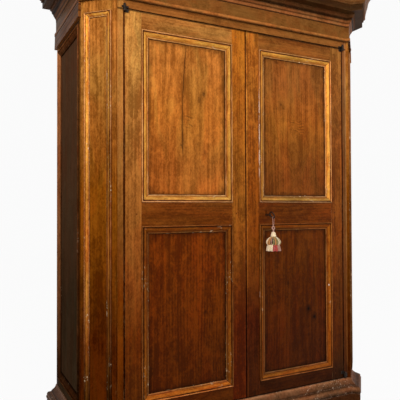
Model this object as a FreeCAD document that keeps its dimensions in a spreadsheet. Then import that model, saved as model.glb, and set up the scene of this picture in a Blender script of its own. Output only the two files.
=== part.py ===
"""A two-door cupboard of walnut with canted front corners.

Millimetres, +Z up, the doors face -Y. The origin is on the floor, under the middle of the
cupboard's box. The carcass is framed: posts, rails and panels stand on a base board inside a
plinth, and a frieze and cornice go round the top. Each door is a mortised frame with two
panels and swings on pin hinges in front of its top and bottom corners.
"""
import FreeCAD, Part
import os
import re

import Sketcher
from FreeCAD import Vector

doc = FreeCAD.newDocument("Cupboard")
sizes = doc.addObject("Spreadsheet::Sheet", "Sizes")

# The driving dimensions, in millimetres.
DRIVING = {
    # door leaves
    "leaf_height": 1800,
    "leaf_width": 618.2,
    "leaf_thickness": 28,
    "meeting_gap": 5,
    "leaf_gap": 5,
    "hinge_stile_width": 77.6,
    "meeting_stile_width": 74.8,
    "top_rail_height": 77.5,
    "lock_rail_bottom": 848.4,
    "lock_rail_height": 105.5,
    "bottom_rail_height": 70.2,
    "tenon_length": 45,
    "tenon_shoulder": 14,
    "peg_radius": 3.5,
    "peg_proud": 0.6,
    # panels and the mouldings round them
    "panel_thickness": 10,
    "panel_recess": 10,
    "groove_depth": 9,
    "moulding_width": 37,
    "moulding_proud": 6,
    "cant_moulding_width": 25,
    "cant_moulding_height": 9,
    "cant_margin": 20,
    "cant_moulding_top": 14,
    "cant_moulding_bottom": 40,
    # carcass
    "stile_face": 27.3,
    "cant_run": 131,
    "cant_proud": 14,
    "body_depth": 635,
    "wall_thickness": 28,
    "door_stop": 14,
    "door_stop_gap": 2.4,
    "post_depth": 34,
    "side_stile_width": 40,
    "rear_stile_width": 38,
    "side_top_rail_drop": 45,
    "side_bottom_rail_rise": 46,
    "board_thickness": 22,
    "back_thickness": 18,
    "back_lap": 14,
    "back_board_gap": 1.5,
    "shelf_fit": 1,
    "lower_shelf_rise": 560,
    "upper_shelf_rise": 1150,
    "cleat_height": 28,
    "cleat_width": 20,
    # foot and plinth
    "foot_height": 97,
    "foot_radius": 52,
    "foot_collar_radius": 36,
    "foot_pad_radius": 30,
    "corner_block_width": 90,
    "plinth_height": 95,
    "plinth_projection": 50,
    "base_moulding_height": 68,
    "base_moulding_projection": 54,
    # entablature
    "neck_height": 58,
    "neck_bead_height": 18,
    "neck_projection": 20,
    "side_band_drop": 27,
    "side_band_projection": 14,
    "frieze_height": 62,
    "frieze_projection": 6,
    "entablature_back": 16,
    "bed_height": 64,
    "bed_projection": 37,
    "corona_height": 30,
    "corona_projection": 77,
    "crown_height": 170,
    "crown_projection": 150,
    "crown_back": 60,
    "dust_board_thickness": 12,
    # hinges
    "pin_radius": 3.5,
    "pin_clearance": 0.05,
    "knuckle_radius": 7,
    "knuckle_height": 12,
    "knuckle_gap": 0.6,
    "finial_radius": 6,
    "hinge_lift": 24,
    "hinge_web_width": 10,
    "hinge_plate_thickness": 2,
    "hinge_plate_width": 21,
    "hinge_plate_height": 16,
    "hinge_clearance": 0.4,
    # lock, key and bolts
    "keyhole_x": 119,
    "keyhole_lift": 43.6,
    "keyhole_radius": 5,
    "keyhole_slot": 18,
    "lock_case_near": 6,
    "lock_case_far": 152,
    "lock_case_height": 104,
    "lock_case_depth": 22,
    "lock_case_wall": 2,
    "lock_bolt_height": 14,
    "lock_bolt_thickness": 8,
    "lock_bolt_length": 96,
    "lock_bolt_rise": 28,
    "keeper_inset": 9,
    "keeper_width": 13,
    "keeper_wall": 4,
    "iron_clearance": 0.5,
    "key_shank_radius": 3.4,
    "key_bow_radius": 16,
    "key_bow_wire": 3,
    "key_bow_reach": 52,
    "key_bow_turn": 25,
    "key_bit_length": 10,
    "key_bit_rise": 22,
    "key_bit_thickness": 4,
    "slide_bolt_width": 16,
    "slide_bolt_thickness": 8,
    "slide_bolt_length": 240,
    "slide_bolt_inset": 42,
    "slide_bolt_standoff": 2,
    "slide_knob_radius": 6,
    "slide_knob_length": 20,
    "guide_height": 16,
    "guide_wall": 3,
    # tassel
    "tassel_cord_radius": 1.2,
    "tassel_cord_drop": 43,
    "tassel_height": 121,
    "tassel_radius": 38,
    "tassel_head_radius": 13.5,
    "tassel_head_height": 24,
    "tassel_neck_radius": 4,
    "tassel_neck_height": 27,
}

for row, (alias, number) in enumerate(DRIVING.items(), start=1):
    sizes.set(f"A{row}", alias)
    sizes.set(f"B{row}", str(number))
    sizes.setAlias(f"B{row}", alias)
doc.recompute()

# Places and sizes that follow from the driving dimensions.
FOLLOWS = {
    # across
    "leaf_outer": "meeting_gap / 2 + leaf_width",
    "opening_half": "leaf_outer + leaf_gap",
    "arris_x": "opening_half + stile_face",
    "side_x": "arris_x + cant_run",
    "side_inner_x": "side_x - wall_thickness",
    "stop_x": "opening_half - door_stop",
    # front to back
    "front_y": "(cant_proud / sqrt(2) + crown_projection * sqrt(2) - body_depth) / 2",
    "rear_y": "front_y + body_depth",
    "leaf_back_y": "front_y + leaf_thickness",
    "back_y": "rear_y - back_thickness",
    "stop_y": "leaf_back_y + door_stop_gap",
    "cant_end_y": "front_y + cant_run",
    "side_panel_y": "cant_end_y + side_stile_width - cant_proud * sqrt(2)",
    "rear_stile_y": "rear_y - rear_stile_width",
    "shelf_front_y": "cant_end_y + shelf_fit + wall_thickness * (sqrt(2) - 1)",
    # up
    "carcass_z": "foot_height + plinth_height",
    "leaf_z": "carcass_z + base_moulding_height",
    "leaf_top_z": "leaf_z + leaf_height",
    "sill_z": "leaf_z - leaf_gap",
    "head_z": "leaf_top_z + leaf_gap",
    "frieze_z": "leaf_top_z + neck_height",
    "bed_z": "frieze_z + frieze_height",
    "corona_z": "bed_z + bed_height",
    "crown_z": "corona_z + corona_height",
    # door frame
    "panel_y": "front_y + panel_recess",
    "moulding_height": "panel_recess + moulding_proud",
    "rail_start": "meeting_gap / 2 + meeting_stile_width",
    "rail_end": "leaf_outer - hinge_stile_width",
    # hinge
    "hinge_x": "leaf_outer + leaf_gap / 2",
    "hinge_y": "front_y - hinge_plate_thickness - hinge_clearance - knuckle_radius",
    # lock
    "keyhole_z": "leaf_z + lock_rail_bottom + keyhole_lift",
    "lock_bolt_z": "keyhole_z + lock_bolt_rise",
    "lock_bolt_y": "leaf_back_y + (lock_case_depth - lock_bolt_thickness) / 2",
    # tassel
    "bow_y": "front_y - key_bow_reach",
    "tassel_x": "keyhole_x + key_bow_radius * sin(key_bow_turn)",
    "bow_low_z": "keyhole_z - key_bow_radius * cos(key_bow_turn)",
    "tassel_top_z": "bow_low_z - tassel_cord_drop",
}


def spell(text):
    """Write an expression out in cells of the sheet."""
    def cell(match):
        word = match.group(0)
        if word in FOLLOWS:
            return f"({spell(FOLLOWS[word])})"
        return f"Sizes.{word}" if word in DRIVING else word
    return re.sub(r"[a-z][a-z_]*", cell, str(text))


def size(text):
    """The value of an expression of the sheet's sizes."""
    return float(sizes.evalExpression(spell(text)))


def place(thing, x="0", y="0", z="0"):
    """Put an object at a place that the sheet gives."""
    for axis, text in zip("xyz", (x, y, z)):
        thing.setExpression(f"Placement.Base.{axis}", spell(text))


# ---------------------------------------------------------------- ways to make a piece

def board(name, xs, ys, zs):
    """A straight board between two values along each axis."""
    piece = doc.addObject("Part::Box", name)
    for side, (low, high) in zip(("Length", "Width", "Height"), (xs, ys, zs)):
        piece.setExpression(side, spell(f"({high}) - ({low})"))
    place(piece, xs[0], ys[0], zs[0])
    return piece


def rod(name, radius, length, at, direction=Vector(0, 0, 1)):
    """A round bar from a place along a direction."""
    piece = doc.addObject("Part::Cylinder", name)
    piece.setExpression("Radius", spell(radius))
    piece.setExpression("Height", spell(length))
    piece.Placement.Rotation = FreeCAD.Rotation(Vector(0, 0, 1), direction)
    place(piece, *at)
    return piece


def joined(name, pieces):
    """One solid of several that overlap or touch."""
    whole = doc.addObject("Part::MultiFuse", name)
    whole.Shapes = pieces
    whole.Refine = True
    return whole


def cut(name, base, tools):
    """A piece with the room of other pieces taken out of it."""
    piece = doc.addObject("Part::Cut", name)
    piece.Base = base
    piece.Tool = tools[0] if len(tools) == 1 else joined(f"{name}_cutter", tools)
    return piece


def group(name, pieces):
    """Separate solids that share one node."""
    whole = doc.addObject("Part::Compound", name)
    whole.Links = pieces
    return whole


def drawn(body, plane, corners):
    """A closed outline of straight lines on one of a body's planes, each corner placed by the sheet."""
    sketch = body.newObject("Sketcher::SketchObject", f"{body.Name}_outline")
    sketch.AttachmentSupport = [(find_plane(body, plane), "")]
    sketch.MapMode = "FlatFace"
    points = [Vector(size(u), size(v), 0) for u, v in corners]
    for index, point in enumerate(points):
        sketch.addGeometry(Part.LineSegment(point, points[(index + 1) % len(points)]), False)
    for index, (u, v) in enumerate(corners):
        sketch.addConstraint(Sketcher.Constraint("Coincident", index, 1, (index - 1) % len(corners), 2))
        for kind, text in (("DistanceX", u), ("DistanceY", v)):
            number = sketch.addConstraint(Sketcher.Constraint(kind, -1, 1, index, 1, size(text)))
            sketch.setExpression(f"Constraints[{number}]", spell(text))
    return sketch


def find_plane(body, role):
    """One of a body's own origin planes."""
    return next(plane for plane in body.Origin.OriginFeatures if plane.Role == role)


def prism(name, corners, zs):
    """A board with any outline in plan, between two heights."""
    body = doc.addObject("PartDesign::Body", name)
    outline = drawn(body, "XY_Plane", corners)
    pad = body.newObject("PartDesign::Pad", f"{name}_pad")
    pad.Profile = outline
    pad.setExpression("Length", spell(f"({zs[1]}) - ({zs[0]})"))
    place(body, z=zs[0])
    return body


def turned(name, corners, at):
    """A piece turned about an upright axis, from corners given as radius and height."""
    body = doc.addObject("PartDesign::Body", name)
    outline = drawn(body, "XZ_Plane", corners)
    turn = body.newObject("PartDesign::Revolution", f"{name}_turn")
    turn.Profile = outline
    turn.ReferenceAxis = (outline, ["V_Axis"])
    turn.Angle = 360
    place(body, *at)
    return body


def feature(name, solids):
    """A piece whose solids are worked out with Part's own functions."""
    piece = doc.addObject("Part::Feature", name)
    piece.Shape = solids[0] if len(solids) == 1 else Part.makeCompound(solids)
    return piece


def outline_wire(outline, to_space):
    """A closed wire: a pair is the end of a straight edge, four numbers a round one and its end."""
    edges = []
    last = to_space(*outline[-1][-2:])
    for step in outline:
        end = to_space(*step[-2:])
        if len(step) == 4:
            edges.append(Part.Arc(last, to_space(*step[:2]), end).toShape())
        else:
            edges.append(Part.LineSegment(last, end).toShape())
        last = end
    return Part.Wire(edges)


def mitred_length(outline, start, finish, across, proud, lean_start, lean_finish):
    """A length of moulding cut at both ends.

    The outline is in steps across the moulding and proud of its back. Each lean is how far the
    mitre moves for one step across.
    """
    along = (finish - start).normalize()
    reach = max(abs(step[-2]) for step in outline)
    spare = reach * (1 + lean_start.Length + lean_finish.Length)
    origin = start - along * spare
    wire = outline_wire(outline, lambda q, h: origin + across * q + proud * h)
    stick = Part.Face(wire).extrude(along * ((finish - start).Length + 2 * spare))
    low = min(step[-2] for step in outline)
    high = max(step[-2] for step in outline)
    base = min(step[-1] for step in outline) - reach
    top = max(max(step[1::2]) for step in outline) + reach
    corners = [start + lean_start * low, finish + lean_finish * low,
               finish + lean_finish * high, start + lean_start * high]
    corners = [corner + proud * base for corner in corners]
    keep = Part.Face(Part.makePolygon(corners + corners[:1])).extrude(proud * (top - base))
    return stick.common(keep).Solids[0]


def plan_corners(projection):
    """The cupboard's plan, grown by a projection, from its left rear corner round to its right.

    The mouldings break forward round the cant boards, which stand proud of the corners.
    """
    step = f"({projection})"
    right = [
        (f"arris_x - (sqrt(2) - 1) * {step}", f"front_y - {step}"),
        ("arris_x + cant_proud / sqrt(2)", f"front_y - cant_proud / sqrt(2) - sqrt(2) * {step}"),
        (f"side_x + {step}", f"cant_end_y - (sqrt(2) - 1) * {step} - sqrt(2) * cant_proud"),
        (f"side_x + {step}", "rear_y"),
    ]
    left = [(f"-({x})", y) for x, y in reversed(right)]
    return left + right


def runs_round(outline_for, height):
    """Seven mitred lengths round the plan; outline_for gives the outline of each run's name."""
    names = ("side", "cant", "return", "front", "return", "cant", "side")
    level = Vector(0, 0, size(height))
    at_wall = [Vector(size(x), size(y), 0) + level for x, y in plan_corners("0")]
    one_out = [Vector(size(x), size(y), 0) + level for x, y in plan_corners("1")]
    solids = []
    for index, name in enumerate(names):
        start, finish = at_wall[index], at_wall[index + 1]
        along = (finish - start).normalize()
        solids.append(mitred_length(
            outline_for(name), start, finish, Vector(along.y, -along.x, 0), Vector(0, 0, 1),
            one_out[index] - start, one_out[index + 1] - finish))
    return solids


def moulded_frame(outline, corner, right, up, width, height, proud):
    """Four mitred lengths that face inward round a rectangle."""
    corners = [corner, corner + right * width, corner + right * width + up * height,
               corner + up * height]
    inward = [up, -right, -up, right]
    solids = []
    for index, across in enumerate(inward):
        start, finish = corners[index], corners[(index + 1) % 4]
        along = (finish - start).normalize()
        solids.append(mitred_length(outline, start, finish, across, proud,
                                    across + along, across - along))
    return solids


def stepped(fractions, width, height):
    """An outline given in hundredths of its width and height."""
    return [tuple(value / 100 * (width, height)[index % 2] for index, value in enumerate(step))
            for step in fractions]


def on_side(side, low, high):
    """A range across the cupboard, on the right as given or on the left mirrored."""
    return (low, high) if side == "right" else (f"-({high})", f"-({low})")


def sign(side):
    """Plus one on the right, minus one on the left."""
    return 1 if side == "right" else -1


# ---------------------------------------------------------------- outlines of the mouldings

PANEL_MOULDING = [
    (0, 0), (0, 84), (7, 104, 15, 84), (18, 66), (24, 66), (26, 86),
    (42, 84, 60, 58), (74, 33, 93, 27), (93, 14), (100, 14), (100, 0),
]
BASE_MOULDING = [
    (0, 0), (0, 100), (7, 100), (18, 78, 37, 66), (51, 56), (53, 51), (74, 51),
    (88, 45, 92, 28), (100, 21), (100, 12), (94, 10), (94, 0),
]
BED_MOULDING = [
    (0, 0), (18, 0), (18, 8), (22, 24, 34, 36), (50, 50), (56, 56),
    (56, 62), (72, 70, 80, 86), (88, 90), (100, 90), (100, 100), (0, 100),
]
CROWN_MOULDING = [
    (0, 0), (56, 0), (56, 5), (61, 8, 62, 15), (65, 30, 72, 52), (76, 68, 83, 78),
    (87, 80), (87, 84), (95, 87, 96, 92), (100, 92), (100, 100), (0, 100),
]


def door_moulding_outline():
    """The moulding round a panel, from the frame's edge down to the panel."""
    return stepped(PANEL_MOULDING, size("moulding_width"), size("moulding_height"))


def neck_outline(run):
    """A bead over a plain band; on the sides the band hangs lower."""
    reach = size("neck_projection")
    top = size("neck_height")
    bead = size("neck_bead_height")
    bead_base = top - bead
    shoulder = reach * 0.6
    outline = [(shoulder, bead_base), (shoulder, bead_base + bead * 0.22),
               (reach, top - bead * 0.39, shoulder, top)]
    if run == "side":
        drop, band = size("side_band_drop"), size("side_band_projection")
        return [(0, top), (0, -drop), (band, -drop)] + outline
    return [(0, top), (0, bead_base)] + outline


# ---------------------------------------------------------------- foot and plinth

def diagonal_place(distance):
    """A place on the left or right cant's normal, at a distance inside the cant's plane."""
    return (f"arris_x + cant_run / 2 - ({distance}) / sqrt(2)",
            f"front_y + cant_run / 2 + ({distance}) / sqrt(2)")


FOOT_OUTLINE = [
    ("0", "0"),
    ("foot_pad_radius", "0"),
    ("foot_pad_radius + (foot_radius - foot_pad_radius) * 0.7", "foot_height * 0.10"),
    ("foot_radius", "foot_height * 0.28"),
    ("foot_radius", "foot_height * 0.46"),
    ("foot_radius - (foot_radius - foot_pad_radius) * 0.35", "foot_height * 0.64"),
    ("foot_pad_radius", "foot_height * 0.74"),
    ("foot_pad_radius", "foot_height * 0.80"),
    ("foot_collar_radius", "foot_height * 0.84"),
    ("foot_collar_radius", "foot_height"),
    ("0", "foot_height"),
]

# how far inside the cant's plane a block's middle lies when its face meets the plinth board
block_inside = "corner_block_width / 2 - cant_proud - plinth_projection + board_thickness"
front_x, front_block_y = diagonal_place(block_inside)
rear_x = "side_x + plinth_projection - board_thickness - corner_block_width / 2"
rear_block_y = "rear_y - board_thickness - corner_block_width / 2"

feet = []
corner_blocks = []
for side in ("left", "right"):
    for end, x, y, angle in (("front", front_x, front_block_y, 45), ("rear", rear_x, rear_block_y, 0)):
        middle_x = x if side == "right" else f"-({x})"
        feet.append(turned(f"{side}_{end}_foot", FOOT_OUTLINE, (middle_x, y, "0")))
        block = doc.addObject("Part::Box", f"{side}_{end}_block")
        block.setExpression("Length", spell("corner_block_width"))
        block.setExpression("Width", spell("corner_block_width"))
        block.setExpression("Height", spell("plinth_height - board_thickness"))
        block.Placement.Rotation = FreeCAD.Rotation(Vector(0, 0, 1), angle)
        if angle:
            place(block, middle_x, f"{y} - corner_block_width / sqrt(2)", "foot_height")
        else:
            half = "corner_block_width / 2"
            place(block, f"{middle_x} - {half}", f"{y} - {half}", "foot_height")
        corner_blocks.append(block)
group("feet", feet)
group("corner_blocks", corner_blocks)

plinth_inside = "plinth_projection - board_thickness"
prism("base_board", plan_corners(plinth_inside), ("carcass_z - board_thickness", "carcass_z"))


def plinth_outline(run):
    """The flat fascia board."""
    face = size("plinth_projection")
    back = size(plinth_inside)
    return [(back, 0), (face, 0), (face, size("plinth_height")), (back, size("plinth_height"))]


rear_plinth = board(
    "rear_plinth",
    (f"-(side_x + {plinth_inside})", f"side_x + {plinth_inside}"),
    ("rear_y - board_thickness", "rear_y"),
    ("foot_height", "carcass_z - board_thickness"))
front_plinth = feature("front_plinth", runs_round(plinth_outline, "foot_height"))
group("plinth_boards", [front_plinth, rear_plinth])

feature("base_moulding", runs_round(
    lambda run: stepped(BASE_MOULDING, size("base_moulding_projection"), size("base_moulding_height")),
    "carcass_z"))

# ---------------------------------------------------------------- carcass

for side in ("left", "right"):
    flip = "" if side == "right" else "-"
    ends = ("carcass_z", "frieze_z")
    post_corners = [
        ("opening_half", "front_y"),
        ("arris_x", "front_y"),
        ("side_x", "cant_end_y"),
        ("side_x", "side_panel_y"),
        ("side_inner_x", "side_panel_y"),
        ("side_inner_x", "cant_end_y + wall_thickness * (sqrt(2) - 1)"),
        ("arris_x + post_depth + stop_y - front_y - sqrt(2) * wall_thickness", "stop_y + post_depth"),
        ("stop_x", "stop_y + post_depth"),
        ("stop_x", "stop_y"),
        ("opening_half", "stop_y"),
    ]
    front_post = prism(f"{side}_post_blank", [(f"{flip}({x})", y) for x, y in post_corners], ends)
    cant_corners = [
        ("arris_x", "front_y"),
        ("arris_x + cant_proud / sqrt(2)", "front_y - cant_proud / sqrt(2)"),
        ("side_x", "cant_end_y - sqrt(2) * cant_proud"),
        ("side_x", "cant_end_y"),
    ]
    prism(f"cant_board_{side}", [(f"{flip}({x})", y) for x, y in cant_corners], ends)

    wall = on_side(side, "side_inner_x", "side_x")
    rear_post = cut(
        f"rear_post_rebated_{side}",
        board(f"rear_post_blank_{side}", wall, ("rear_stile_y", "rear_y"), ends),
        [board(f"rear_rebate_{side}", on_side(side, "side_inner_x", "side_inner_x + back_lap"),
               ("back_y", "rear_y"), ends)])
    between = ("side_panel_y", "rear_stile_y")
    rails = {
        "top": board(f"side_top_rail_{side}", wall, between,
                     ("leaf_top_z - side_top_rail_drop", "frieze_z")),
        "bottom": board(f"side_bottom_rail_{side}", wall, between,
                        ("carcass_z", "leaf_z + side_bottom_rail_rise")),
    }
    panel = board(
        f"side_panel_{side}",
        on_side(side, "side_x - panel_recess - panel_thickness", "side_x - panel_recess"),
        ("side_panel_y - groove_depth", "rear_stile_y + groove_depth"),
        ("leaf_z + side_bottom_rail_rise - groove_depth", "leaf_top_z - side_top_rail_drop + groove_depth"))
    cut(f"front_post_{side}", front_post, [panel])
    cut(f"rear_post_{side}", rear_post, [panel])
    group(f"side_rails_{side}", [cut(f"grooved_{key}_{side}", rail, [panel]) for key, rail in rails.items()])

    face_x = sign(side) * size("side_x - panel_recess")
    feature(f"side_moulding_{side}", moulded_frame(
        door_moulding_outline(),
        Vector(face_x, size("side_panel_y"), size("leaf_z + side_bottom_rail_rise")),
        Vector(0, 1, 0), Vector(0, 0, 1),
        size("rear_stile_y - side_panel_y"),
        size("leaf_height - side_top_rail_drop - side_bottom_rail_rise"),
        Vector(sign(side), 0, 0)))

    cant_along = Vector(sign(side), 1, 0).normalize()
    cant_out = Vector(sign(side), -1, 0).normalize()
    cant_face = Vector(sign(side) * size("arris_x + cant_proud / sqrt(2)"),
                       size("front_y - cant_proud / sqrt(2)"),
                       size("leaf_z + cant_moulding_bottom"))
    cant_width = size("sqrt(2) * cant_run - cant_proud - 2 * cant_margin")
    feature(f"cant_moulding_{side}", moulded_frame(
        stepped(PANEL_MOULDING, size("cant_moulding_width"), size("cant_moulding_height")),
        cant_face + cant_along * size("cant_margin"),
        cant_along, Vector(0, 0, 1), cant_width,
        size("leaf_height - cant_moulding_top - cant_moulding_bottom"),
        cant_out))

opening = ("-(opening_half)", "opening_half")
leaf_depth = ("front_y", "leaf_back_y")
group("front_rails", [
    board("sill_rail", opening, leaf_depth, ("carcass_z", "sill_z")),
    board("head_rail", opening, leaf_depth, ("head_z", "frieze_z")),
])

shelf_x = ("-(side_inner_x - shelf_fit)", "side_inner_x - shelf_fit")
mouth_x = ("-(stop_x - shelf_fit)", "stop_x - shelf_fit")
bolt_room = board(
    "bolt_room",
    ("-(slide_bolt_inset + slide_bolt_width / 2 + iron_clearance)",
     "-(slide_bolt_inset - slide_bolt_width / 2 - iron_clearance)"),
    ("leaf_back_y", "leaf_back_y + 2 * iron_clearance + slide_bolt_thickness"),
    ("sill_z - board_thickness", "head_z + board_thickness"))
for name, low, high in (
        ("floor_board", "sill_z - board_thickness", "sill_z"),
        ("top_board", "head_z", "head_z + board_thickness")):
    wide = board(f"{name}_body", shelf_x, ("shelf_front_y", "back_y"), (low, high))
    tongue = board(f"{name}_mouth", mouth_x, ("leaf_back_y", "shelf_front_y"), (low, high))
    cut(name, joined(f"{name}_blank", [wide, tongue]), [bolt_room])

shelf_rises = {"lower": "leaf_z + lower_shelf_rise", "upper": "leaf_z + upper_shelf_rise"}
group("shelves", [
    board(f"{name}_shelf", shelf_x, ("shelf_front_y", "back_y"), (rise, f"{rise} + board_thickness"))
    for name, rise in shelf_rises.items()])
cleat_tops = {"floor": "sill_z - board_thickness", **shelf_rises}
group("shelf_cleats", [
    board(f"{name}_cleat_{side}", on_side(side, "side_inner_x - cleat_width", "side_inner_x"),
          ("shelf_front_y", "back_y"), (f"{top} - cleat_height", top))
    for name, top in cleat_tops.items() for side in ("left", "right")])

BACK_BOARDS = 6
back_left = "-(side_inner_x + back_lap)"
back_step = f"(2 * (side_inner_x + back_lap) + back_board_gap) / {BACK_BOARDS}"
group("back_boards", [
    board(f"back_board_{number}",
          (f"{back_left} + {number} * {back_step}",
           f"{back_left} + {number + 1} * {back_step} - back_board_gap"),
          ("back_y", "rear_y"), ("carcass_z", "frieze_z"))
    for number in range(BACK_BOARDS)])

# ---------------------------------------------------------------- entablature

feature("neck_moulding", runs_round(neck_outline, "leaf_top_z"))


def box_outline(face, height):
    """A flat board that stands on edge round the plan."""
    back = -size("entablature_back")
    return lambda run: [(back, 0), (size(face), 0), (size(face), size(height)), (back, size(height))]


def backed_outline(fractions, face, height, back):
    """A moulding on a square back that reaches inside the plan."""
    steps = stepped(fractions, size(face), size(height))
    steps = [(size(back), step[1]) if step[0] == 0 and len(step) == 2 else step for step in steps]
    return lambda run: steps


rear_frieze = board(
    "rear_frieze", ("-(side_x - entablature_back)", "side_x - entablature_back"),
    ("rear_y - board_thickness", "rear_y"), ("frieze_z", "crown_z"))
frieze_runs = feature("frieze_runs", runs_round(box_outline("frieze_projection", "frieze_height"), "frieze_z"))
group("frieze_boards", [frieze_runs, rear_frieze])
feature("bed_moulding", runs_round(
    backed_outline(BED_MOULDING, "bed_projection", "bed_height", "-entablature_back"), "bed_z"))
feature("corona_boards", runs_round(box_outline("corona_projection", "corona_height"), "corona_z"))
feature("crown_moulding", runs_round(
    backed_outline(CROWN_MOULDING, "crown_projection", "crown_height", "crown_back"), "crown_z"))
prism("dust_board", plan_corners("crown_back"), ("crown_z", "crown_z + dust_board_thickness"))

# ---------------------------------------------------------------- doors

RAILS = {
    "bottom": ("leaf_z", "leaf_z + bottom_rail_height"),
    "lock": ("leaf_z + lock_rail_bottom", "leaf_z + lock_rail_bottom + lock_rail_height"),
    "top": ("leaf_top_z - top_rail_height", "leaf_top_z"),
}
PANELS = {"lower": (RAILS["bottom"][1], RAILS["lock"][0]), "upper": (RAILS["lock"][1], RAILS["top"][0])}


def keyhole():
    """The hole for the key's shank, with the slot for its bit above."""
    start = "front_y - panel_recess"
    depth = "leaf_thickness + panel_recess + lock_case_wall"
    round_hole = rod("keyhole_round", "keyhole_radius", depth, ("keyhole_x", start, "keyhole_z"), Vector(0, 1, 0))
    slot = board("keyhole_slot_cut",
                 ("keyhole_x - key_bit_thickness / 2 - iron_clearance",
                  "keyhole_x + key_bit_thickness / 2 + iron_clearance"),
                 (start, f"{start} + {depth}"),
                 ("keyhole_z", "keyhole_z + keyhole_radius + keyhole_slot"))
    return joined("keyhole", [round_hole, slot])


keyhole_cutter = keyhole()


def door_leaf(side):
    """A door's stiles, rails, panels, mouldings and pegs."""
    leaf = ("leaf_z", "leaf_top_z")
    tongue_y = ("panel_y", "panel_y + panel_thickness")
    tenons = [
        board(f"tenon_{name}_{side}", on_side(side, "rail_start - tenon_length", "rail_end + tenon_length"),
              tongue_y, (f"{low} + tenon_shoulder", f"{high} - tenon_shoulder"))
        for name, (low, high) in RAILS.items()]
    panels = [
        board(f"{side}_{name}_panel", on_side(side, "rail_start - groove_depth", "rail_end + groove_depth"),
              tongue_y, (f"{low} - groove_depth", f"{high} + groove_depth"))
        for name, (low, high) in PANELS.items()]
    pegs = []
    for name, (low, high) in RAILS.items():
        for end, x in (("meeting", "rail_start - tenon_length / 2"), ("hinge", "rail_end + tenon_length / 2")):
            middle_x = x if side == "right" else f"-({x})"
            pegs.append(rod(f"peg_{name}_{end}_{side}", "peg_radius", "leaf_thickness + peg_proud",
                            (middle_x, "front_y - peg_proud", f"({low} + {high}) / 2"), Vector(0, 1, 0)))
    taken = tenons + panels + pegs
    stiles = {
        "meeting": ("meeting_gap / 2", "rail_start"),
        "hinge": ("rail_end", "leaf_outer"),
    }
    for name, (low, high) in stiles.items():
        blank = board(f"{name}_stile_blank_{side}", on_side(side, low, high), leaf_depth, leaf)
        cut(f"{side}_{name}_stile", blank, taken)
    rails = []
    for tenon, (name, heights) in zip(tenons, RAILS.items()):
        blank = board(f"rail_blank_{name}_{side}", on_side(side, "rail_start", "rail_end"), leaf_depth, heights)
        tools = panels + pegs
        if side == "right" and name == "lock":
            tools = tools + [keyhole_cutter]
        rails.append(cut(f"rail_{name}_{side}", joined(f"tenoned_{name}_{side}", [blank, tenon]), tools))
    group(f"{side}_rails", rails)
    group(f"{side}_pegs", pegs)
    left_edge = size("rail_start") if side == "right" else -size("rail_end")
    for name, (low, high) in PANELS.items():
        feature(f"{side}_{name}_moulding", moulded_frame(
            door_moulding_outline(),
            Vector(left_edge, size("panel_y"), size(low)), Vector(1, 0, 0), Vector(0, 0, 1),
            size("rail_end - rail_start"), size(f"{high} - ({low})"), Vector(0, -1, 0)))


for side in ("left", "right"):
    door_leaf(side)

# ---------------------------------------------------------------- hinges


def hinge_half(side, end, half):
    """One half of a pin hinge near a door's top or bottom corner.

    The axis stands in front of the middle of the gap beside the leaf. The frame's half
    carries the pin: at the top it is fixed to the head rail, at the bottom an arm brings it
    across from the post. The leaf's half is an eye that turns on the pin.
    """
    up = end == "top"
    corner = "leaf_top_z" if up else "leaf_z + hinge_lift"
    axis_x = "hinge_x" if side == "right" else "-(hinge_x)"
    name = f"{half}_{end}_{side}"

    def beyond(low, high):
        """A range of heights beyond the end of the eye, or short of it where negative."""
        if up:
            return (f"{corner} + {low}", f"{corner} + {high}")
        return (f"{corner} - ({high})", f"{corner} - ({low})")

    web_x = on_side(side, "hinge_x - hinge_web_width / 2", "hinge_x + hinge_web_width / 2")
    web_y = ("hinge_y", "front_y")
    if half == "eye":
        heights = beyond("-knuckle_height", "0")
        web_x = on_side(side, "hinge_x - hinge_web_width", "leaf_outer - hinge_clearance")
        web_z = heights
        plate_x = on_side(side, "hinge_x - hinge_plate_width", "leaf_outer - hinge_clearance")
        plate_z = beyond("-hinge_plate_height", "0")
    else:
        heights = beyond("knuckle_gap", "knuckle_gap + knuckle_height")
        web_z = beyond("leaf_gap", "knuckle_gap + knuckle_height") if up else heights
        if up:
            plate_x = on_side(side, "hinge_x - hinge_plate_width", "hinge_x + hinge_plate_width / 2")
            plate_z = web_z
        else:
            web_x = on_side(side, "hinge_x", "opening_half + hinge_web_width")
            web_y = ("hinge_y", "front_y - hinge_plate_thickness")
            plate_x = on_side(side, "opening_half + hinge_clearance", "opening_half + hinge_plate_width")
            plate_z = (f"{heights[1]} - hinge_plate_height", heights[1])
    knuckle = rod(f"{name}_knuckle", "knuckle_radius", f"({heights[1]}) - ({heights[0]})",
                  (axis_x, "hinge_y", heights[0]))
    web = board(f"{name}_web", web_x, web_y, web_z)
    plate = board(f"{name}_plate", plate_x, ("front_y - hinge_plate_thickness", "front_y"), plate_z)
    if half == "eye":
        hole = rod(f"{name}_hole", "pin_radius + pin_clearance", f"({heights[1]}) - ({heights[0]})",
                   (axis_x, "hinge_y", heights[0]))
        return cut(name, joined(f"{name}_solid", [knuckle, web, plate]), [hole])
    pin_z = beyond("-knuckle_height", "knuckle_gap + knuckle_height")
    pin = rod(f"{name}_pin", "pin_radius", f"({pin_z[1]}) - ({pin_z[0]})", (axis_x, "hinge_y", pin_z[0]))
    ball = doc.addObject("Part::Sphere", f"{name}_finial")
    ball.setExpression("Radius", spell("finial_radius"))
    far_end = f"{pin_z[1]} + finial_radius / 2" if up else f"{pin_z[0]} - finial_radius / 2"
    place(ball, axis_x, "hinge_y", far_end)
    return joined(name, [knuckle, web, plate, pin, ball])


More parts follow.
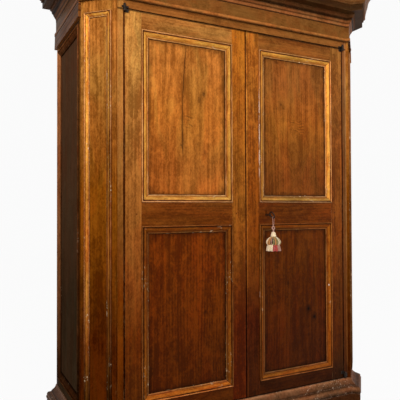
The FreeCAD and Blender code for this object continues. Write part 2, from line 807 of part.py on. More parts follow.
ENDS = ("top", "bottom")
group("hinge_pintles", [hinge_half(side, end, "pintle") for side in ("left", "right") for end in ENDS])
for side in ("left", "right"):
    group(f"{side}_hinge_eyes", [hinge_half(side, end, "eye") for end in ENDS])

# ---------------------------------------------------------------- lock, key and bolts

case_z = ("keyhole_z - lock_case_height / 2", "keyhole_z + lock_case_height / 2")
case_shell = board("lock_case_shell", ("lock_case_near", "lock_case_far"),
                   ("leaf_back_y", "leaf_back_y + lock_case_depth"), case_z)
case_room = board("lock_case_room",
                  ("lock_case_near + lock_case_wall", "lock_case_far - lock_case_wall"),
                  ("leaf_back_y + lock_case_wall", "leaf_back_y + lock_case_depth - lock_case_wall"),
                  (f"{case_z[0]} + lock_case_wall", f"{case_z[1]} - lock_case_wall"))
bolt_z = ("lock_bolt_z", "lock_bolt_z + lock_bolt_height")
bolt_y = ("lock_bolt_y", "lock_bolt_y + lock_bolt_thickness")
bolt_slot = board("lock_bolt_slot", ("0", "lock_case_near + 2 * lock_case_wall"),
                  ("lock_bolt_y - iron_clearance", f"{bolt_y[1]} + iron_clearance"),
                  ("lock_bolt_z - iron_clearance", f"{bolt_z[1]} + iron_clearance"))
cut("lock_case", case_shell, [case_room, bolt_slot, keyhole_cutter])
board("lock_bolt", ("lock_case_near", "lock_case_near + lock_bolt_length"), bolt_y, bolt_z)

keeper_x = ("-(keeper_inset + keeper_width)", "-(keeper_inset)")
keeper_top = f"{bolt_y[1]} + iron_clearance"
cut("lock_keeper",
    board("keeper_blank", keeper_x, ("leaf_back_y", f"{keeper_top} + keeper_wall"),
          ("lock_bolt_z - iron_clearance - keeper_wall", f"{bolt_z[1]} + iron_clearance + keeper_wall")),
    [board("keeper_room", keeper_x, ("leaf_back_y", keeper_top),
           ("lock_bolt_z - iron_clearance", f"{bolt_z[1]} + iron_clearance"))])

shank = rod("key_shank", "key_shank_radius",
            "key_bow_reach - key_bow_radius + leaf_thickness + lock_case_depth - lock_case_wall - iron_clearance",
            ("keyhole_x", "bow_y + key_bow_radius", "keyhole_z"), Vector(0, 1, 0))
collar = rod("key_collar", "key_shank_radius * 1.5", "key_bow_wire * 2",
             ("keyhole_x", "bow_y + key_bow_radius + key_bow_wire", "keyhole_z"), Vector(0, 1, 0))
bow = doc.addObject("Part::Torus", "key_bow")
bow.setExpression("Radius1", spell("key_bow_radius"))
bow.setExpression("Radius2", spell("key_bow_wire"))
bow.Placement.Rotation = FreeCAD.Rotation(Vector(0, 1, 0), 90)
bow.setExpression("Placement.Rotation.Angle", spell("90 - key_bow_turn"))
place(bow, "keyhole_x", "bow_y", "keyhole_z")
bit = board("key_bit", ("keyhole_x - key_bit_thickness / 2", "keyhole_x + key_bit_thickness / 2"),
            ("leaf_back_y + lock_case_wall + 2 * iron_clearance",
             "leaf_back_y + lock_case_wall + 2 * iron_clearance + key_bit_length"),
            ("keyhole_z", "keyhole_z + key_bit_rise"))
joined("key", [shank, collar, bow, bit])

slide_x = ("-(slide_bolt_inset + slide_bolt_width / 2)", "-(slide_bolt_inset - slide_bolt_width / 2)")
slide_y = ("leaf_back_y + iron_clearance", "leaf_back_y + iron_clearance + slide_bolt_thickness")


def slide_bolt(name, corner, inward):
    """A flat bolt on the left door's back, its knob, and the two guides that hold it."""
    def from_end(low, high):
        """A range of heights measured from the leaf's end towards its middle."""
        if inward > 0:
            return (f"{corner} + {low}", f"{corner} + {high}")
        return (f"{corner} - ({high})", f"{corner} - ({low})")

    bar_z = from_end("slide_bolt_standoff", "slide_bolt_standoff + slide_bolt_length")
    bar = board(f"{name}_bar", slide_x, slide_y, bar_z)
    knob = rod(f"{name}_knob", "slide_knob_radius", "slide_knob_length",
               ("-slide_bolt_inset", slide_y[1], f"({bar_z[0]} + {bar_z[1]}) / 2"), Vector(0, 1, 0))
    joined(name, [bar, knob])
    guides = []
    for place_along in ("slide_bolt_standoff + guide_height", "slide_bolt_length - 2 * guide_height"):
        low, high = from_end(place_along, f"{place_along} + guide_height")
        room = board(f"{name}_guide_room_{len(guides)}",
                     (f"{slide_x[0]} - iron_clearance", f"{slide_x[1]} + iron_clearance"),
                     ("leaf_back_y", f"{slide_y[1]} + iron_clearance"), (low, high))
        blank = board(f"{name}_guide_blank_{len(guides)}",
                      (f"{slide_x[0]} - iron_clearance - guide_wall",
                       f"{slide_x[1]} + iron_clearance + guide_wall"),
                      ("leaf_back_y", f"{slide_y[1]} + iron_clearance + guide_wall"), (low, high))
        guides.append(cut(f"{name}_guide_{len(guides)}", blank, [room]))
    return guides


group("bolt_guides", slide_bolt("upper_bolt", "leaf_top_z", -1) + slide_bolt("lower_bolt", "leaf_z", 1))

# ---------------------------------------------------------------- tassel

TASSEL_OUTLINE = [
    ("0", "-tassel_height"),
    ("tassel_radius", "-tassel_height"),
    ("tassel_radius * 0.87", "-tassel_height * 0.76"),
    ("tassel_radius * 0.95", "-tassel_height * 0.68"),
    ("tassel_radius * 0.90", "-tassel_height * 0.56"),
    ("tassel_head_radius", "-(tassel_neck_height + tassel_head_height)"),
    ("tassel_head_radius * 0.66", "-tassel_neck_height"),
    ("tassel_neck_radius", "-tassel_neck_height"),
    ("tassel_neck_radius", "0"),
    ("0", "0"),
]
turned("tassel", TASSEL_OUTLINE, ("tassel_x", "bow_y", "tassel_top_z"))


def tassel_cord():
    """A loop of cord from the tassel's top, up through the bow and down again."""
    bend = size("key_bow_wire + tassel_cord_radius") * 1.05
    middle = Vector(size("tassel_x"), size("bow_y"), size("bow_low_z"))
    side_step = Vector(bend, 0, 0)
    fall = Vector(0, 0, -size("tassel_cord_drop"))
    near_foot = Vector(size("tassel_cord_radius") * 1.2, 0, 0)
    left_leg = Part.LineSegment(middle + fall - near_foot, middle - side_step)
    over = Part.Arc(middle - side_step, middle + Vector(0, 0, bend), middle + side_step)
    right_leg = Part.LineSegment(middle + side_step, middle + fall + near_foot)
    route = Part.Wire([left_leg.toShape(), over.toShape(), right_leg.toShape()])
    ring = Part.Wire(Part.makeCircle(size("tassel_cord_radius"), left_leg.StartPoint, Vector(0, 0, 1)))
    return route.makePipeShell([ring], True, True)


feature("tassel_cord", [tassel_cord()])

# ---------------------------------------------------------------- the nodes, checked and written

NODES = [
    "feet", "corner_blocks", "base_board", "plinth_boards", "base_moulding",
    "front_post_left", "front_post_right", "rear_post_left", "rear_post_right",
    "cant_board_left", "cant_board_right", "cant_moulding_left", "cant_moulding_right",
    "side_rails_left", "side_rails_right", "side_panel_left", "side_panel_right",
    "side_moulding_left", "side_moulding_right", "front_rails", "floor_board", "top_board",
    "back_boards", "shelves", "shelf_cleats", "neck_moulding", "frieze_boards", "bed_moulding",
    "corona_boards", "crown_moulding", "dust_board", "hinge_pintles",
    "left_hinge_stile", "left_meeting_stile", "left_rails", "left_upper_panel", "left_lower_panel",
    "left_upper_moulding", "left_lower_moulding", "left_hinge_eyes", "left_pegs",
    "lock_keeper", "bolt_guides",
    "right_hinge_stile", "right_meeting_stile", "right_rails", "right_upper_panel",
    "right_lower_panel", "right_upper_moulding", "right_lower_moulding", "right_hinge_eyes",
    "right_pegs", "lock_case",
    "lock_bolt", "key", "tassel_cord", "tassel", "upper_bolt", "lower_bolt",
]

doc.recompute()
failed = [thing.Label for thing in doc.Objects if {"Invalid", "Error"} & set(thing.State)]
if failed:
    raise RuntimeError(f"objects that failed: {failed}")
by_label = {thing.Label: thing for thing in doc.Objects}
for node in NODES:
    shape = by_label[node].Shape
    if shape.isNull() or not shape.isValid() or not shape.Solids:
        raise RuntimeError(f"{node} has no valid solid")

os.makedirs("parts", exist_ok=True)
for node in NODES:
    by_label[node].Shape.exportStep(f"parts/{node}.step")
print(f"{len(NODES)} nodes")
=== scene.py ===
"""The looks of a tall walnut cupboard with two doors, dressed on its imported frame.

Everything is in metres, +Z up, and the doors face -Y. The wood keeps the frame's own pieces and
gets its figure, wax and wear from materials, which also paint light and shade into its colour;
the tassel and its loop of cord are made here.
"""
import logging
import math
import random
from dataclasses import dataclass, field, replace
from enum import Enum
from typing import Any

import bpy
from mathutils import Matrix, Vector


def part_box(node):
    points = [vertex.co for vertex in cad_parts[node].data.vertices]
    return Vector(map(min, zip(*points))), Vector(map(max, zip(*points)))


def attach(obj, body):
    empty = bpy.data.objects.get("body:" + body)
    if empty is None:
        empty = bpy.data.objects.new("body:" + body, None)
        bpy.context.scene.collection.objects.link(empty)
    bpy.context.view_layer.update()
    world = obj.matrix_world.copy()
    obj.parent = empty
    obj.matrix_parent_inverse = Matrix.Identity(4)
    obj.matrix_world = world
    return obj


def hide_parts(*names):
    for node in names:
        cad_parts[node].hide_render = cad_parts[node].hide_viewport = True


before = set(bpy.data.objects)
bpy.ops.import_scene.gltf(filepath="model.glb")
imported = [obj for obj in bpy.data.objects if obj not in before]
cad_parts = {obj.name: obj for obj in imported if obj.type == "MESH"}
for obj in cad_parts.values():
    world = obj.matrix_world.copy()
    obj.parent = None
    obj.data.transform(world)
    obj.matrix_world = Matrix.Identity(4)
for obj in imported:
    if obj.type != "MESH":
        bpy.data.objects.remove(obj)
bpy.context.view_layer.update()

LOG = logging.getLogger("cupboard")

Colour = tuple[float, float, float]
Stops = tuple[tuple[float, Colour], ...]
Numeric = "Value | float"

FULL_TURN = 2 * math.pi


# ---------------------------------------------------------------- shader arithmetic

class Value:
    """A quantity that varies over a surface, with arithmetic that adds Math nodes."""

    def __init__(self, graph: "Graph", socket: bpy.types.NodeSocket) -> None:
        """Wrap an output socket of a graph."""
        self.graph = graph
        self.socket = socket

    def __add__(self, other: Numeric) -> "Value":
        """The sum."""
        return self.graph.math("ADD", self, other)

    __radd__ = __add__

    def __sub__(self, other: Numeric) -> "Value":
        """The difference."""
        return self.graph.math("SUBTRACT", self, other)

    def __rsub__(self, other: Numeric) -> "Value":
        """The difference, with this value taken away."""
        return self.graph.math("SUBTRACT", other, self)

    def __mul__(self, other: Numeric) -> "Value":
        """The product."""
        return self.graph.math("MULTIPLY", self, other)

    __rmul__ = __mul__

    def __truediv__(self, other: Numeric) -> "Value":
        """The quotient."""
        return self.graph.math("DIVIDE", self, other)

    def __neg__(self) -> "Value":
        """The value with its sign turned."""
        return self.graph.math("MULTIPLY", self, -1.0)

    def __abs__(self) -> "Value":
        """The size of the value."""
        return self.graph.math("ABSOLUTE", self)

    def __pow__(self, other: Numeric) -> "Value":
        """The power."""
        return self.graph.math("POWER", self, other)

    def at_most(self, other: Numeric) -> "Value":
        """The smaller of the two."""
        return self.graph.math("MINIMUM", self, other)

    def at_least(self, other: Numeric) -> "Value":
        """The larger of the two."""
        return self.graph.math("MAXIMUM", self, other)

    def below(self, other: Numeric) -> "Value":
        """One where this value is under the other, else nothing."""
        return self.graph.math("LESS_THAN", self, other)

    def rise(self, low: float, high: float) -> "Value":
        """A soft step from nothing at low to one at high.

        Args:
            low: Where the step starts.
            high: Where it ends; under low, the step falls instead.

        Returns:
            The step, from 0 to 1.
        """
        turned = high < low
        node = self.graph.make(
            "ShaderNodeMapRange", {"interpolation_type": "SMOOTHSTEP"},
            {"Value": self, "From Min": min(low, high), "From Max": max(low, high),
             "To Min": float(turned), "To Max": float(not turned)})
        return self.graph.out(node, 0)


class Graph:
    """The node tree of one material, or of the world."""

    def __init__(self, name: str, world: bool = False) -> None:
        """Start an empty tree.

        Args:
            name: The name of the material or the world.
            world: Whether it is the world's.
        """
        self.owner = (bpy.data.worlds if world else bpy.data.materials).new(name)
        self.owner.use_nodes = True
        self.tree = self.owner.node_tree
        self.tree.nodes.clear()

    def make(self, kind: str, settings: dict[str, Any] | None = None,
             sockets: dict[str | int, Any] | None = None) -> bpy.types.Node:
        """Add any node.

        Args:
            kind: The node's type.
            settings: Its settings; "stops" are a ramp's places and colours.
            sockets: What goes into its inputs, by name or number: a Value is linked.

        Returns:
            The node.
        """
        node = self.tree.nodes.new(kind)
        for name, setting in (settings or {}).items():
            if name == "stops":
                ramp = node.color_ramp
                while len(ramp.elements) < len(setting):
                    ramp.elements.new(0.5)
                for element, (position, colour) in zip(ramp.elements, setting):
                    element.position = position
                    element.color = (*colour, 1.0)
            else:
                setattr(node, name, setting)
        for name, content in (sockets or {}).items():
            if isinstance(content, Value):
                self.tree.links.new(content.socket, node.inputs[name])
            else:
                node.inputs[name].default_value = content
        return node

    def out(self, node: bpy.types.Node, name: str | int) -> Value:
        """One of a node's outputs as a value."""
        return Value(self, node.outputs[name])

    def math(self, operation: str, *terms: Numeric) -> Value:
        """One Math node on values or numbers."""
        node = self.make("ShaderNodeMath", {"operation": operation}, dict(enumerate(terms)))
        return self.out(node, 0)

    def vector(self, x: Numeric, y: Numeric, z: Numeric) -> Value:
        """A vector from three values."""
        return self.out(self.make("ShaderNodeCombineXYZ", None, {0: x, 1: y, 2: z}), 0)

    def parts(self, vector: Value) -> tuple[Value, Value, Value]:
        """The three values of a vector."""
        node = self.make("ShaderNodeSeparateXYZ", None, {0: vector})
        return self.out(node, 0), self.out(node, 1), self.out(node, 2)

    def place(self) -> tuple[Value, Value, Value]:
        """Where a point lies on the object, in metres at rest."""
        return self.parts(self.out(self.make("ShaderNodeTexCoord"), "Object"))

    def blend(self, factor: Numeric, first: Value | Colour, second: Value | Colour) -> Value:
        """Mix two colours.

        Args:
            factor: How much of the second, from 0 to 1.
            first: The colour where the factor is 0.
            second: The colour where it is 1.

        Returns:
            The mixed colour.
        """
        node = self.make("ShaderNodeMix", {"data_type": "RGBA"},
                         {0: factor, 6: self.opaque(first), 7: self.opaque(second)})
        return self.out(node, 2)

    def shade(self, colour: Value | Colour, factor: Numeric) -> Value:
        """A colour made lighter or darker by a factor."""
        node = self.make("ShaderNodeVectorMath", {"operation": "SCALE"}, {0: colour, "Scale": factor})
        return self.out(node, 0)

    def tint(self, colour: Value | Colour, factors: Value | Colour) -> Value:
        """A colour with each of its channels multiplied by a factor."""
        node = self.make("ShaderNodeVectorMath", {"operation": "MULTIPLY"}, {0: colour, 1: factors})
        return self.out(node, 0)

    def ramp(self, factor: Value, row: Stops) -> Value:
        """A colour along a row of stops."""
        return self.out(self.make("ShaderNodeValToRGB", {"stops": row}, {0: factor}), 0)

    def noise(self, vector: Value, scale: float, detail: float = 2.0, rough: float = 0.5,
              bend: float = 0.0) -> Value:
        """Soft noise.

        Args:
            vector: Where it is read.
            scale: How many lumps to one unit of the vector.
            detail: How many finer layers it has.
            rough: How strong those are.
            bend: How much it is twisted.

        Returns:
            The noise, about 0.3 to 0.7.
        """
        node = self.make("ShaderNodeTexNoise", None, {
            "Vector": vector, "Scale": scale, "Detail": detail, "Roughness": rough, "Distortion": bend})
        return self.out(node, 0)

    def chosen(self, factor: Numeric, first: Value, second: Value) -> Value:
        """Two shaders mixed by a factor, which is the share of the second."""
        return self.out(self.make("ShaderNodeMixShader", None, {0: factor, 1: first, 2: second}), 0)

    def glow(self, kind: str, colour: Colour, strength: float) -> Value:
        """A plain light of a kind, Emission on a surface or Background in the world."""
        return self.out(self.make(f"ShaderNode{kind}", None, {0: (*colour, 1.0), 1: strength}), 0)

    def seen(self) -> Value:
        """Find what the camera sees, directly or in a reflection.

        Returns:
            One on those rays, else nothing.
        """
        path = self.make("ShaderNodeLightPath")
        reflected = self.out(path, "Is Glossy Ray") + self.out(path, "Is Transmission Ray")
        return (self.out(path, "Is Camera Ray") + reflected).at_most(1.0)

    def close(self, shader: Value) -> Any:
        """End the graph with a shader.

        Args:
            shader: What the surface or the surround shows.

        Returns:
            The finished material or world.
        """
        kind = "World" if isinstance(self.owner, bpy.types.World) else "Material"
        self.make(f"ShaderNodeOutput{kind}", None, {"Surface": shader})
        return self.owner

    def surface(self, colour: Value | Colour, roughness: Numeric, height: Value | None = None,
                depth: float = 0.001, metallic: Numeric = 0.0, **constants: Any) -> Value:
        """A surface shader.

        Args:
            colour: The base colour.
            roughness: The roughness.
            height: The relief, from 0 to 1.
            depth: How far one unit of relief stands, in metres.
            metallic: How metallic it is.
            constants: The shader's other sockets, with _ for the spaces of their names.

        Returns:
            The shader.
        """
        sockets = {"Base Color": self.opaque(colour), "Roughness": roughness, "Metallic": metallic}
        for name, number in constants.items():
            sockets[name.replace("_", " ").title().replace("Ior", "IOR")] = number
        if height is not None:
            bump = self.make("ShaderNodeBump", None,
                             {"Strength": 1.0, "Distance": depth, "Height": height})
            sockets["Normal"] = self.out(bump, 0)
        return self.out(self.make("ShaderNodeBsdfPrincipled", None, sockets), 0)

    def finish(self, *terms: Any, **constants: Any) -> bpy.types.Material:
        """Close the graph with a surface shader of these terms."""
        return self.close(self.surface(*terms, **constants))

    @staticmethod
    def opaque(colour: Value | Colour) -> Any:
        """A colour as a colour socket takes it."""
        return colour if isinstance(colour, Value) else (*colour, 1.0)


def tone(*screen: int) -> Colour:
    """A colour as a screen has it, made linear for the shaders.

    Args:
        screen: Its red, green and blue, 0 to 255.

    Returns:
        The colour; a screen's curve has a straight foot and then a power of 2.4.
    """
    shares = [part / 255 for part in screen]
    return tuple(share / 12.92 if share <= 0.04045 else ((share + 0.055) / 1.055) ** 2.4
                 for share in shares)


def stops(*rows: tuple[float, int, int, int]) -> Stops:
    """Stops of colour, from rows of a place and a colour as a screen has it."""
    return tuple((place, tone(*screen)) for place, *screen in rows)


# ---------------------------------------------------------------- wood

class Grain(Enum):
    """Which way the grain of a board runs."""
    UPRIGHT = "upright"
    ACROSS = "across"
    BACKWARD = "backward"
    LEVEL = "level"


@dataclass(frozen=True)
class EdgeLight:
    """An upright line beside an edge, at a distance from the cupboard's middle, that tints the wood: painted
    light, a highlight where pale and shade where dark.
    """
    at: float
    reach: float
    tint: Colour
    strength: float


@dataclass(frozen=True)
class Wood:
    """A waxed and worn board, with light and shade painted into its colour.

    The tones are its middle colours at rising heights in metres; they mostly grow darker towards the
    floor, painted shade for the lamps' fall of light, and some dip for a painted shadow. The edges that
    the closed doors hide get painted shade, side shade is painted shade on the faces that look
    sideways, and chips are pale marks.
    """
    name: str
    tones: Stops = ()
    worn: Colour = tone(214, 160, 104)
    wear: float = 0.5
    contrast: float = 1.0
    speckle: float = 0.5
    grime: float = 0.5
    figure: float = 0.5
    shut_face_shade: float = 0.0
    side_shade: float = 0.0
    roughness: float = 0.44
    shine: float = 0.05
    chips: float = 0.0
    edge_lights: tuple[EdgeLight, ...] = ()


# The gap beside each door lies so far from the middle, and the doors reach between these heights.
GAP_AT, DOOR_TOP, DOOR_FOOT = 0.6232, 2.0590, 0.2610
# The gaps' shadow is full so near their middles, and ends here beside, between and above the doors.
GAP_CORE, GAP_REACH, MEETING_REACH, END_REACH = 0.003, 0.0066, 0.005, 0.0062
# The posts and mouldings outside the doors lie past these distances from the middle.
OUTER_FROM, OUTER_FULL = 0.66, 0.70
# The pith of the tree lies so far aside of a board's middle and behind it, and the rings are so fine.
PITH_ASIDE, PITH_SWAY, PITH_BEHIND, RING_PITCH = 0.31, 0.06, 0.30, 420.0
# The heights that the boards' tones are given between, and the relief of the wood, in metres.
LOW_TONE, HIGH_TONE = 0.0, 2.5
WOOD_RELIEF, EDGE_REACH = 0.0009, 0.0035
SLANT = 0.7071
WAX_TINT = (1.0, 0.74, 0.48, 1.0)
SHADOW_TINT = (0.34, 0.17, 0.12)
PALER_TINT = (1.0, 1.15, 1.5)
DARK_FIGURE, LIGHT_FIGURE = (0.60, 0.54, 0.44), (1.42, 1.48, 1.60)
RED_HUE, COOL_HUE = (1.05, 0.96, 0.90), (0.95, 1.05, 1.05)
KNOT_TINT = (0.12, 0.10, 0.20)
RUDDY_TINT = (0.66, 0.42, 0.30)
REDDEN_TINT = (1.05, 0.72, 0.62)
DUST_TINT = (0.95, 1.06, 1.5)
CRACK_DARK = tone(34, 13, 5)
KNOCKED_PALE = tone(226, 206, 190)


@dataclass
class Cut:
    """How a finish lies on one node: the way of its grain and where its pattern starts."""
    graph: Graph
    wood: Wood
    grain: Grain
    seed: float

    def __post_init__(self) -> None:
        """Work out the three directions of the board."""
        x, y, z = self.graph.place()
        self.x, self.y, self.z = x, y, z
        if self.grain is Grain.UPRIGHT:
            self.along, self.wide, self.deep = z, x, y
        elif self.grain is Grain.ACROSS:
            self.along, self.wide, self.deep = x, z, y
        elif self.grain is Grain.BACKWARD:
            self.along, self.wide, self.deep = y, z, x
        else:
            self.along = x + y * 0.7
            self.wide = z
            self.deep = (-y).at_least(abs(x)).at_least((abs(x) - y) * SLANT)

    def streaks(self, wide: float, along: float, detail: float = 2.0, bend: float = 0.0,
                rough: float = 0.55) -> Value:
        """Noise drawn out along the grain.

        Args:
            wide: Lumps to a metre across the grain.
            along: Lumps to a metre along it.
            detail: Finer layers.
            bend: How much it is twisted.
            rough: How strong the finer layers are.

        Returns:
            The noise, about 0.3 to 0.7.
        """
        spot = self.graph.vector(self.wide * wide + self.seed, self.deep * wide + self.seed * 0.37,
                                 self.along * along - self.seed * 1.7)
        return self.graph.noise(spot, 1.0, detail, rough, bend)

    def rings(self) -> Value:
        """Work out the growth rings where the saw has cut them.

        Returns:
            The rings, from 0 to 1.
        """
        middle = (PITH_ASIDE * math.copysign(1, math.sin(self.seed * 3.3))
                  + PITH_SWAY * math.sin(self.seed * 7.1))
        drift = self.streaks(3.0, 0.9, 2.0)
        wide = self.wide - middle + (drift - 0.5) * 0.10
        deep = self.deep + PITH_BEHIND + (self.along - 1.1) * 0.05
        radius = self.graph.math("SQRT", wide * wide + deep * deep)
        return self.graph.math("SINE", radius * RING_PITCH + drift * 9.0) * 0.5 + 0.5

    def middle_tone(self) -> Value:
        """Work out the board's middle colour at each height.

        Returns:
            The colour.
        """
        # The tones paint the lamps' fall of light: shade that deepens towards the floor.
        span = HIGH_TONE - LOW_TONE
        placed = tuple(((height - LOW_TONE) / span, colour) for height, colour in self.wood.tones)
        return self.graph.ramp((self.z - LOW_TONE) / span, placed)

    def door_gaps(self, colour: Value) -> Value:
        """Darken the gaps round and between the doors.

        Args:
            colour: The colour of the bare board.

        Returns:
            The colour with the gaps' shadow on it.
        """
        graph = self.graph
        beside = abs(abs(self.x) - GAP_AT).rise(GAP_REACH, GAP_CORE)
        gap = beside.at_least(abs(self.x).rise(MEETING_REACH, GAP_CORE))
        gap = gap * self.z.rise(DOOR_TOP + 0.002, DOOR_TOP - 0.002)
        top = abs(self.z - DOOR_TOP).rise(END_REACH, GAP_CORE)
        foot = abs(self.z - DOOR_FOOT).rise(END_REACH, GAP_CORE)
        colour = graph.blend(gap * 0.9, colour, graph.tint(colour, SHADOW_TINT))
        return graph.shade(colour, 1.0 - top.at_least(foot) * 0.72)

    def side_faces(self, colour: Value) -> Value:
        """Paint shade on the faces that look sideways.

        Args:
            colour: The colour of the bare board.

        Returns:
            The colour, with painted shade on edges that the doors hide and on the cupboard's outer sides.
        """
        graph = self.graph
        across, forward, _ = graph.parts(graph.out(graph.make("ShaderNodeTexCoord"), "Normal"))
        outer = abs(self.x).rise(OUTER_FROM, OUTER_FULL)
        shut = (1.0 - abs(forward)).rise(0.72, 0.94) * (1.0 - outer)
        beside = (abs(across) - abs(forward) * 1.5).rise(0.0, 0.2) * outer
        colour = graph.blend(shut * self.wood.shut_face_shade, colour, graph.tint(colour, SHADOW_TINT))
        return graph.shade(colour, 1.0 - beside * self.wood.side_shade)

    def colour(self, middle: Value | None = None) -> tuple[Value, Value]:
        """Work out the wood's colour and its relief.

        Args:
            middle: The middle colour, or nothing for the board's own tones.

        Returns:
            The colour, and the height of its pores and plane marks from 0 to 1.
        """
        wood, graph = self.wood, self.graph
        middle = middle or self.middle_tone()
        cloud = self.streaks(7.0, 2.4, 3.0, 0.6).rise(0.34, 0.66)
        broad = self.streaks(34.0, 1.3, 3.0).rise(0.34, 0.66)
        narrow = self.streaks(120.0, 3.4, 3.0).rise(0.34, 0.68)
        blotch = self.streaks(24.0, 13.0, 4.0, 1.4, 0.65).rise(0.36, 0.70)
        mottle = self.streaks(150.0, 90.0, 3.0, 0.5, 0.6).rise(0.36, 0.64)
        fibre = self.streaks(420.0, 9.0, 2.0)
        share = (cloud * 0.24 + broad * 0.19 + narrow * 0.16 + blotch * 0.26 + mottle * 0.17
                 + (self.rings() - 0.5) * 0.16 * wood.figure + (fibre - 0.5) * 0.28)
        share = ((share - 0.5) * 1.35 * wood.contrast + 0.5).at_most(1.0).at_least(0.0)
        colour = graph.blend(share, graph.tint(middle, DARK_FIGURE), graph.tint(middle, LIGHT_FIGURE))
        hue = self.streaks(11.0, 3.1, 3.0, 0.9).rise(0.34, 0.66)
        colour = graph.blend(hue, graph.tint(colour, RED_HUE), graph.tint(colour, COOL_HUE))
        pores = self.streaks(330.0, 46.0, 2.0).rise(0.60, 0.70)
        flecks = self.streaks(95.0, 24.0, 3.0, 0.8, 0.7).rise(0.62, 0.72)
        stain = self.streaks(4.6, 3.2, 4.0, 0.8).rise(0.54, 0.70)
        dark = pores * 0.30 * wood.speckle + flecks * 0.42 * wood.speckle + stain * 0.26 * wood.grime
        colour = graph.shade(colour, 1.0 - dark.at_most(0.8))
        # Painted light along edges: a pale line is a painted highlight, a dark one painted shade.
        for edge_light in wood.edge_lights:
            line = abs(abs(self.x) - edge_light.at).rise(edge_light.reach, edge_light.reach * 0.4)
            line = line * self.streaks(40.0, 9.0, 3.0).rise(0.30, 0.50) * edge_light.strength
            colour = graph.blend(line, colour, graph.tint(colour, edge_light.tint))
        # Painted shade in the gaps round the doors, on the edges that they hide and on the faces that look
        # sideways.
        if wood.shut_face_shade:
            colour = self.door_gaps(colour)
        if wood.shut_face_shade or wood.side_shade:
            colour = self.side_faces(colour)
        height = fibre * 0.35 + cloud * 0.3 - pores * 0.35 - flecks * 0.25 + narrow * 0.15
        return colour, height

    def worn_edges(self, colour: Value) -> Value:
        """Rub the edges pale and chip them.

        Args:
            colour: The colour before wear.

        Returns:
            The worn colour.
        """
        graph = self.graph
        rounded = graph.out(graph.make("ShaderNodeBevel", {"samples": 6}, {"Radius": EDGE_REACH}), 0)
        flat = graph.out(graph.make("ShaderNodeNewGeometry"), "Normal")
        node = graph.make("ShaderNodeVectorMath", {"operation": "DOT_PRODUCT"}, {0: rounded, 1: flat})
        edge = graph.out(node, "Value").rise(0.995, 0.86)
        spot = graph.vector(self.x * 60.0, self.y * 60.0, self.z * 60.0)
        rub = graph.noise(spot, 1.0, 4.0, 0.7).rise(0.42, 0.62)
        patch = graph.noise(spot, 0.06, 2.0).rise(0.35, 0.62)
        worn = graph.tint(graph.shade(self.middle_tone(), 1.5), PALER_TINT)
        worn = graph.blend(0.45, worn, self.wood.worn)
        return graph.blend(edge * rub * patch * self.wood.wear, colour, worn)

    def chips(self, amount: float) -> Value:
        """Where the wood is knocked pale, in short marks along the grain, up to an amount."""
        return (self.streaks(160.0, 60.0, 3.0).rise(0.60, 0.66)
                * self.streaks(20.0, 5.0, 2.0).rise(0.54, 0.62) * amount)

    def material(self, colour: Value, height: Value) -> bpy.types.Material:
        """Close the graph with its wax.

        Args:
            colour: The wood's colour.
            height: Its relief, from 0 to 1.

        Returns:
            The material.
        """
        rub = self.streaks(14.0, 5.0, 3.0)
        roughness = self.wood.roughness + (rub - 0.5) * 0.35 - (height - 0.3) * 0.10
        return self.graph.finish(colour, roughness, height, WOOD_RELIEF,
                                 specular_ior_level=self.wood.shine, specular_tint=WAX_TINT)


# ---------------------------------------------------------------- marks

@dataclass(frozen=True)
class Knot:
    """A knot in a panel: where its middle is and how big it is, in metres."""
    x: float
    z: float
    radius: float
    strength: float = 0.8

    def paint(self, cut: Cut, colour: Value) -> tuple[Value, Value | None]:
        """Put the knot into a colour.

        Args:
            cut: The panel.
            colour: Its colour so far.

        Returns:
            The new colour, and nothing, as the wood stays closed.
        """
        graph = cut.graph
        offset_x = (cut.x - self.x) * 1.35
        offset_z = cut.z - self.z
        wobble = (cut.streaks(70.0, 60.0, 2.0) - 0.5) * self.radius
        away = graph.math("SQRT", offset_x * offset_x + offset_z * offset_z) + wobble
        ring = away.rise(self.radius * 2.8, self.radius)
        colour = graph.shade(colour, 1.0 - ring * 0.4 * self.strength)
        core = away.rise(self.radius * 1.2, self.radius * 0.3) * self.strength
        return graph.blend(core, colour, graph.tint(colour, KNOT_TINT)), None


@dataclass(frozen=True)
class Crack:
    """A drying crack that runs up a panel, bowed by so much to the square of its length."""
    x: float
    low: float
    high: float
    width: float = 0.0024
    bow: float = 0.15

    def paint(self, cut: Cut, colour: Value) -> tuple[Value, Value | None]:
        """Put the crack into a colour.

        Args:
            cut: The panel.
            colour: Its colour so far.

        Returns:
            The new colour, and where the wood is open.
        """
        graph = cut.graph
        sway = (cut.streaks(2.0, 6.0, 3.0) - 0.5) * 0.016
        middle = cut.z - (self.low * 0.72 + self.high * 0.28)
        away = abs(cut.x - self.x + sway - middle * middle * self.bow)
        ends = cut.z.rise(self.low, self.low + 0.08) * cut.z.rise(self.high, self.high - 0.12)
        line = (away.rise(self.width, self.width * 0.3) * ends
                * cut.streaks(1.0, 16.0, 3.0).rise(0.20, 0.42))
        colour = graph.shade(colour, 1.0 - away.rise(0.014, 0.0) * ends * 0.22)
        return graph.blend(line * 0.8, colour, CRACK_DARK), line


@dataclass(frozen=True)
class Ripple:
    """A patch of short cross marks, where the grain dips under the surface."""
    x: float
    z: float
    reach_x: float
    reach_z: float
    pitch: float = 0.013

    def paint(self, cut: Cut, colour: Value) -> tuple[Value, Value | None]:
        """Put the patch into a colour.

        Args:
            cut: The panel.
            colour: Its colour so far.

        Returns:
            The new colour, and nothing, as the wood stays closed.
        """
        offset_x = (cut.x - self.x) / self.reach_x
        offset_z = (cut.z - self.z) / self.reach_z
        patch = (offset_x * offset_x + offset_z * offset_z).rise(1.0, 0.35)
        bent = cut.z + (cut.streaks(16.0, 8.0, 3.0) - 0.5) * 0.05 + cut.x * 0.2
        wave = cut.graph.math("SINE", bent * (FULL_TURN / self.pitch)).rise(0.2, 0.95)
        broken = cut.streaks(30.0, 60.0, 3.0).rise(0.38, 0.56)
        return cut.graph.shade(colour, 1.0 - patch * wave * broken * 0.42), None


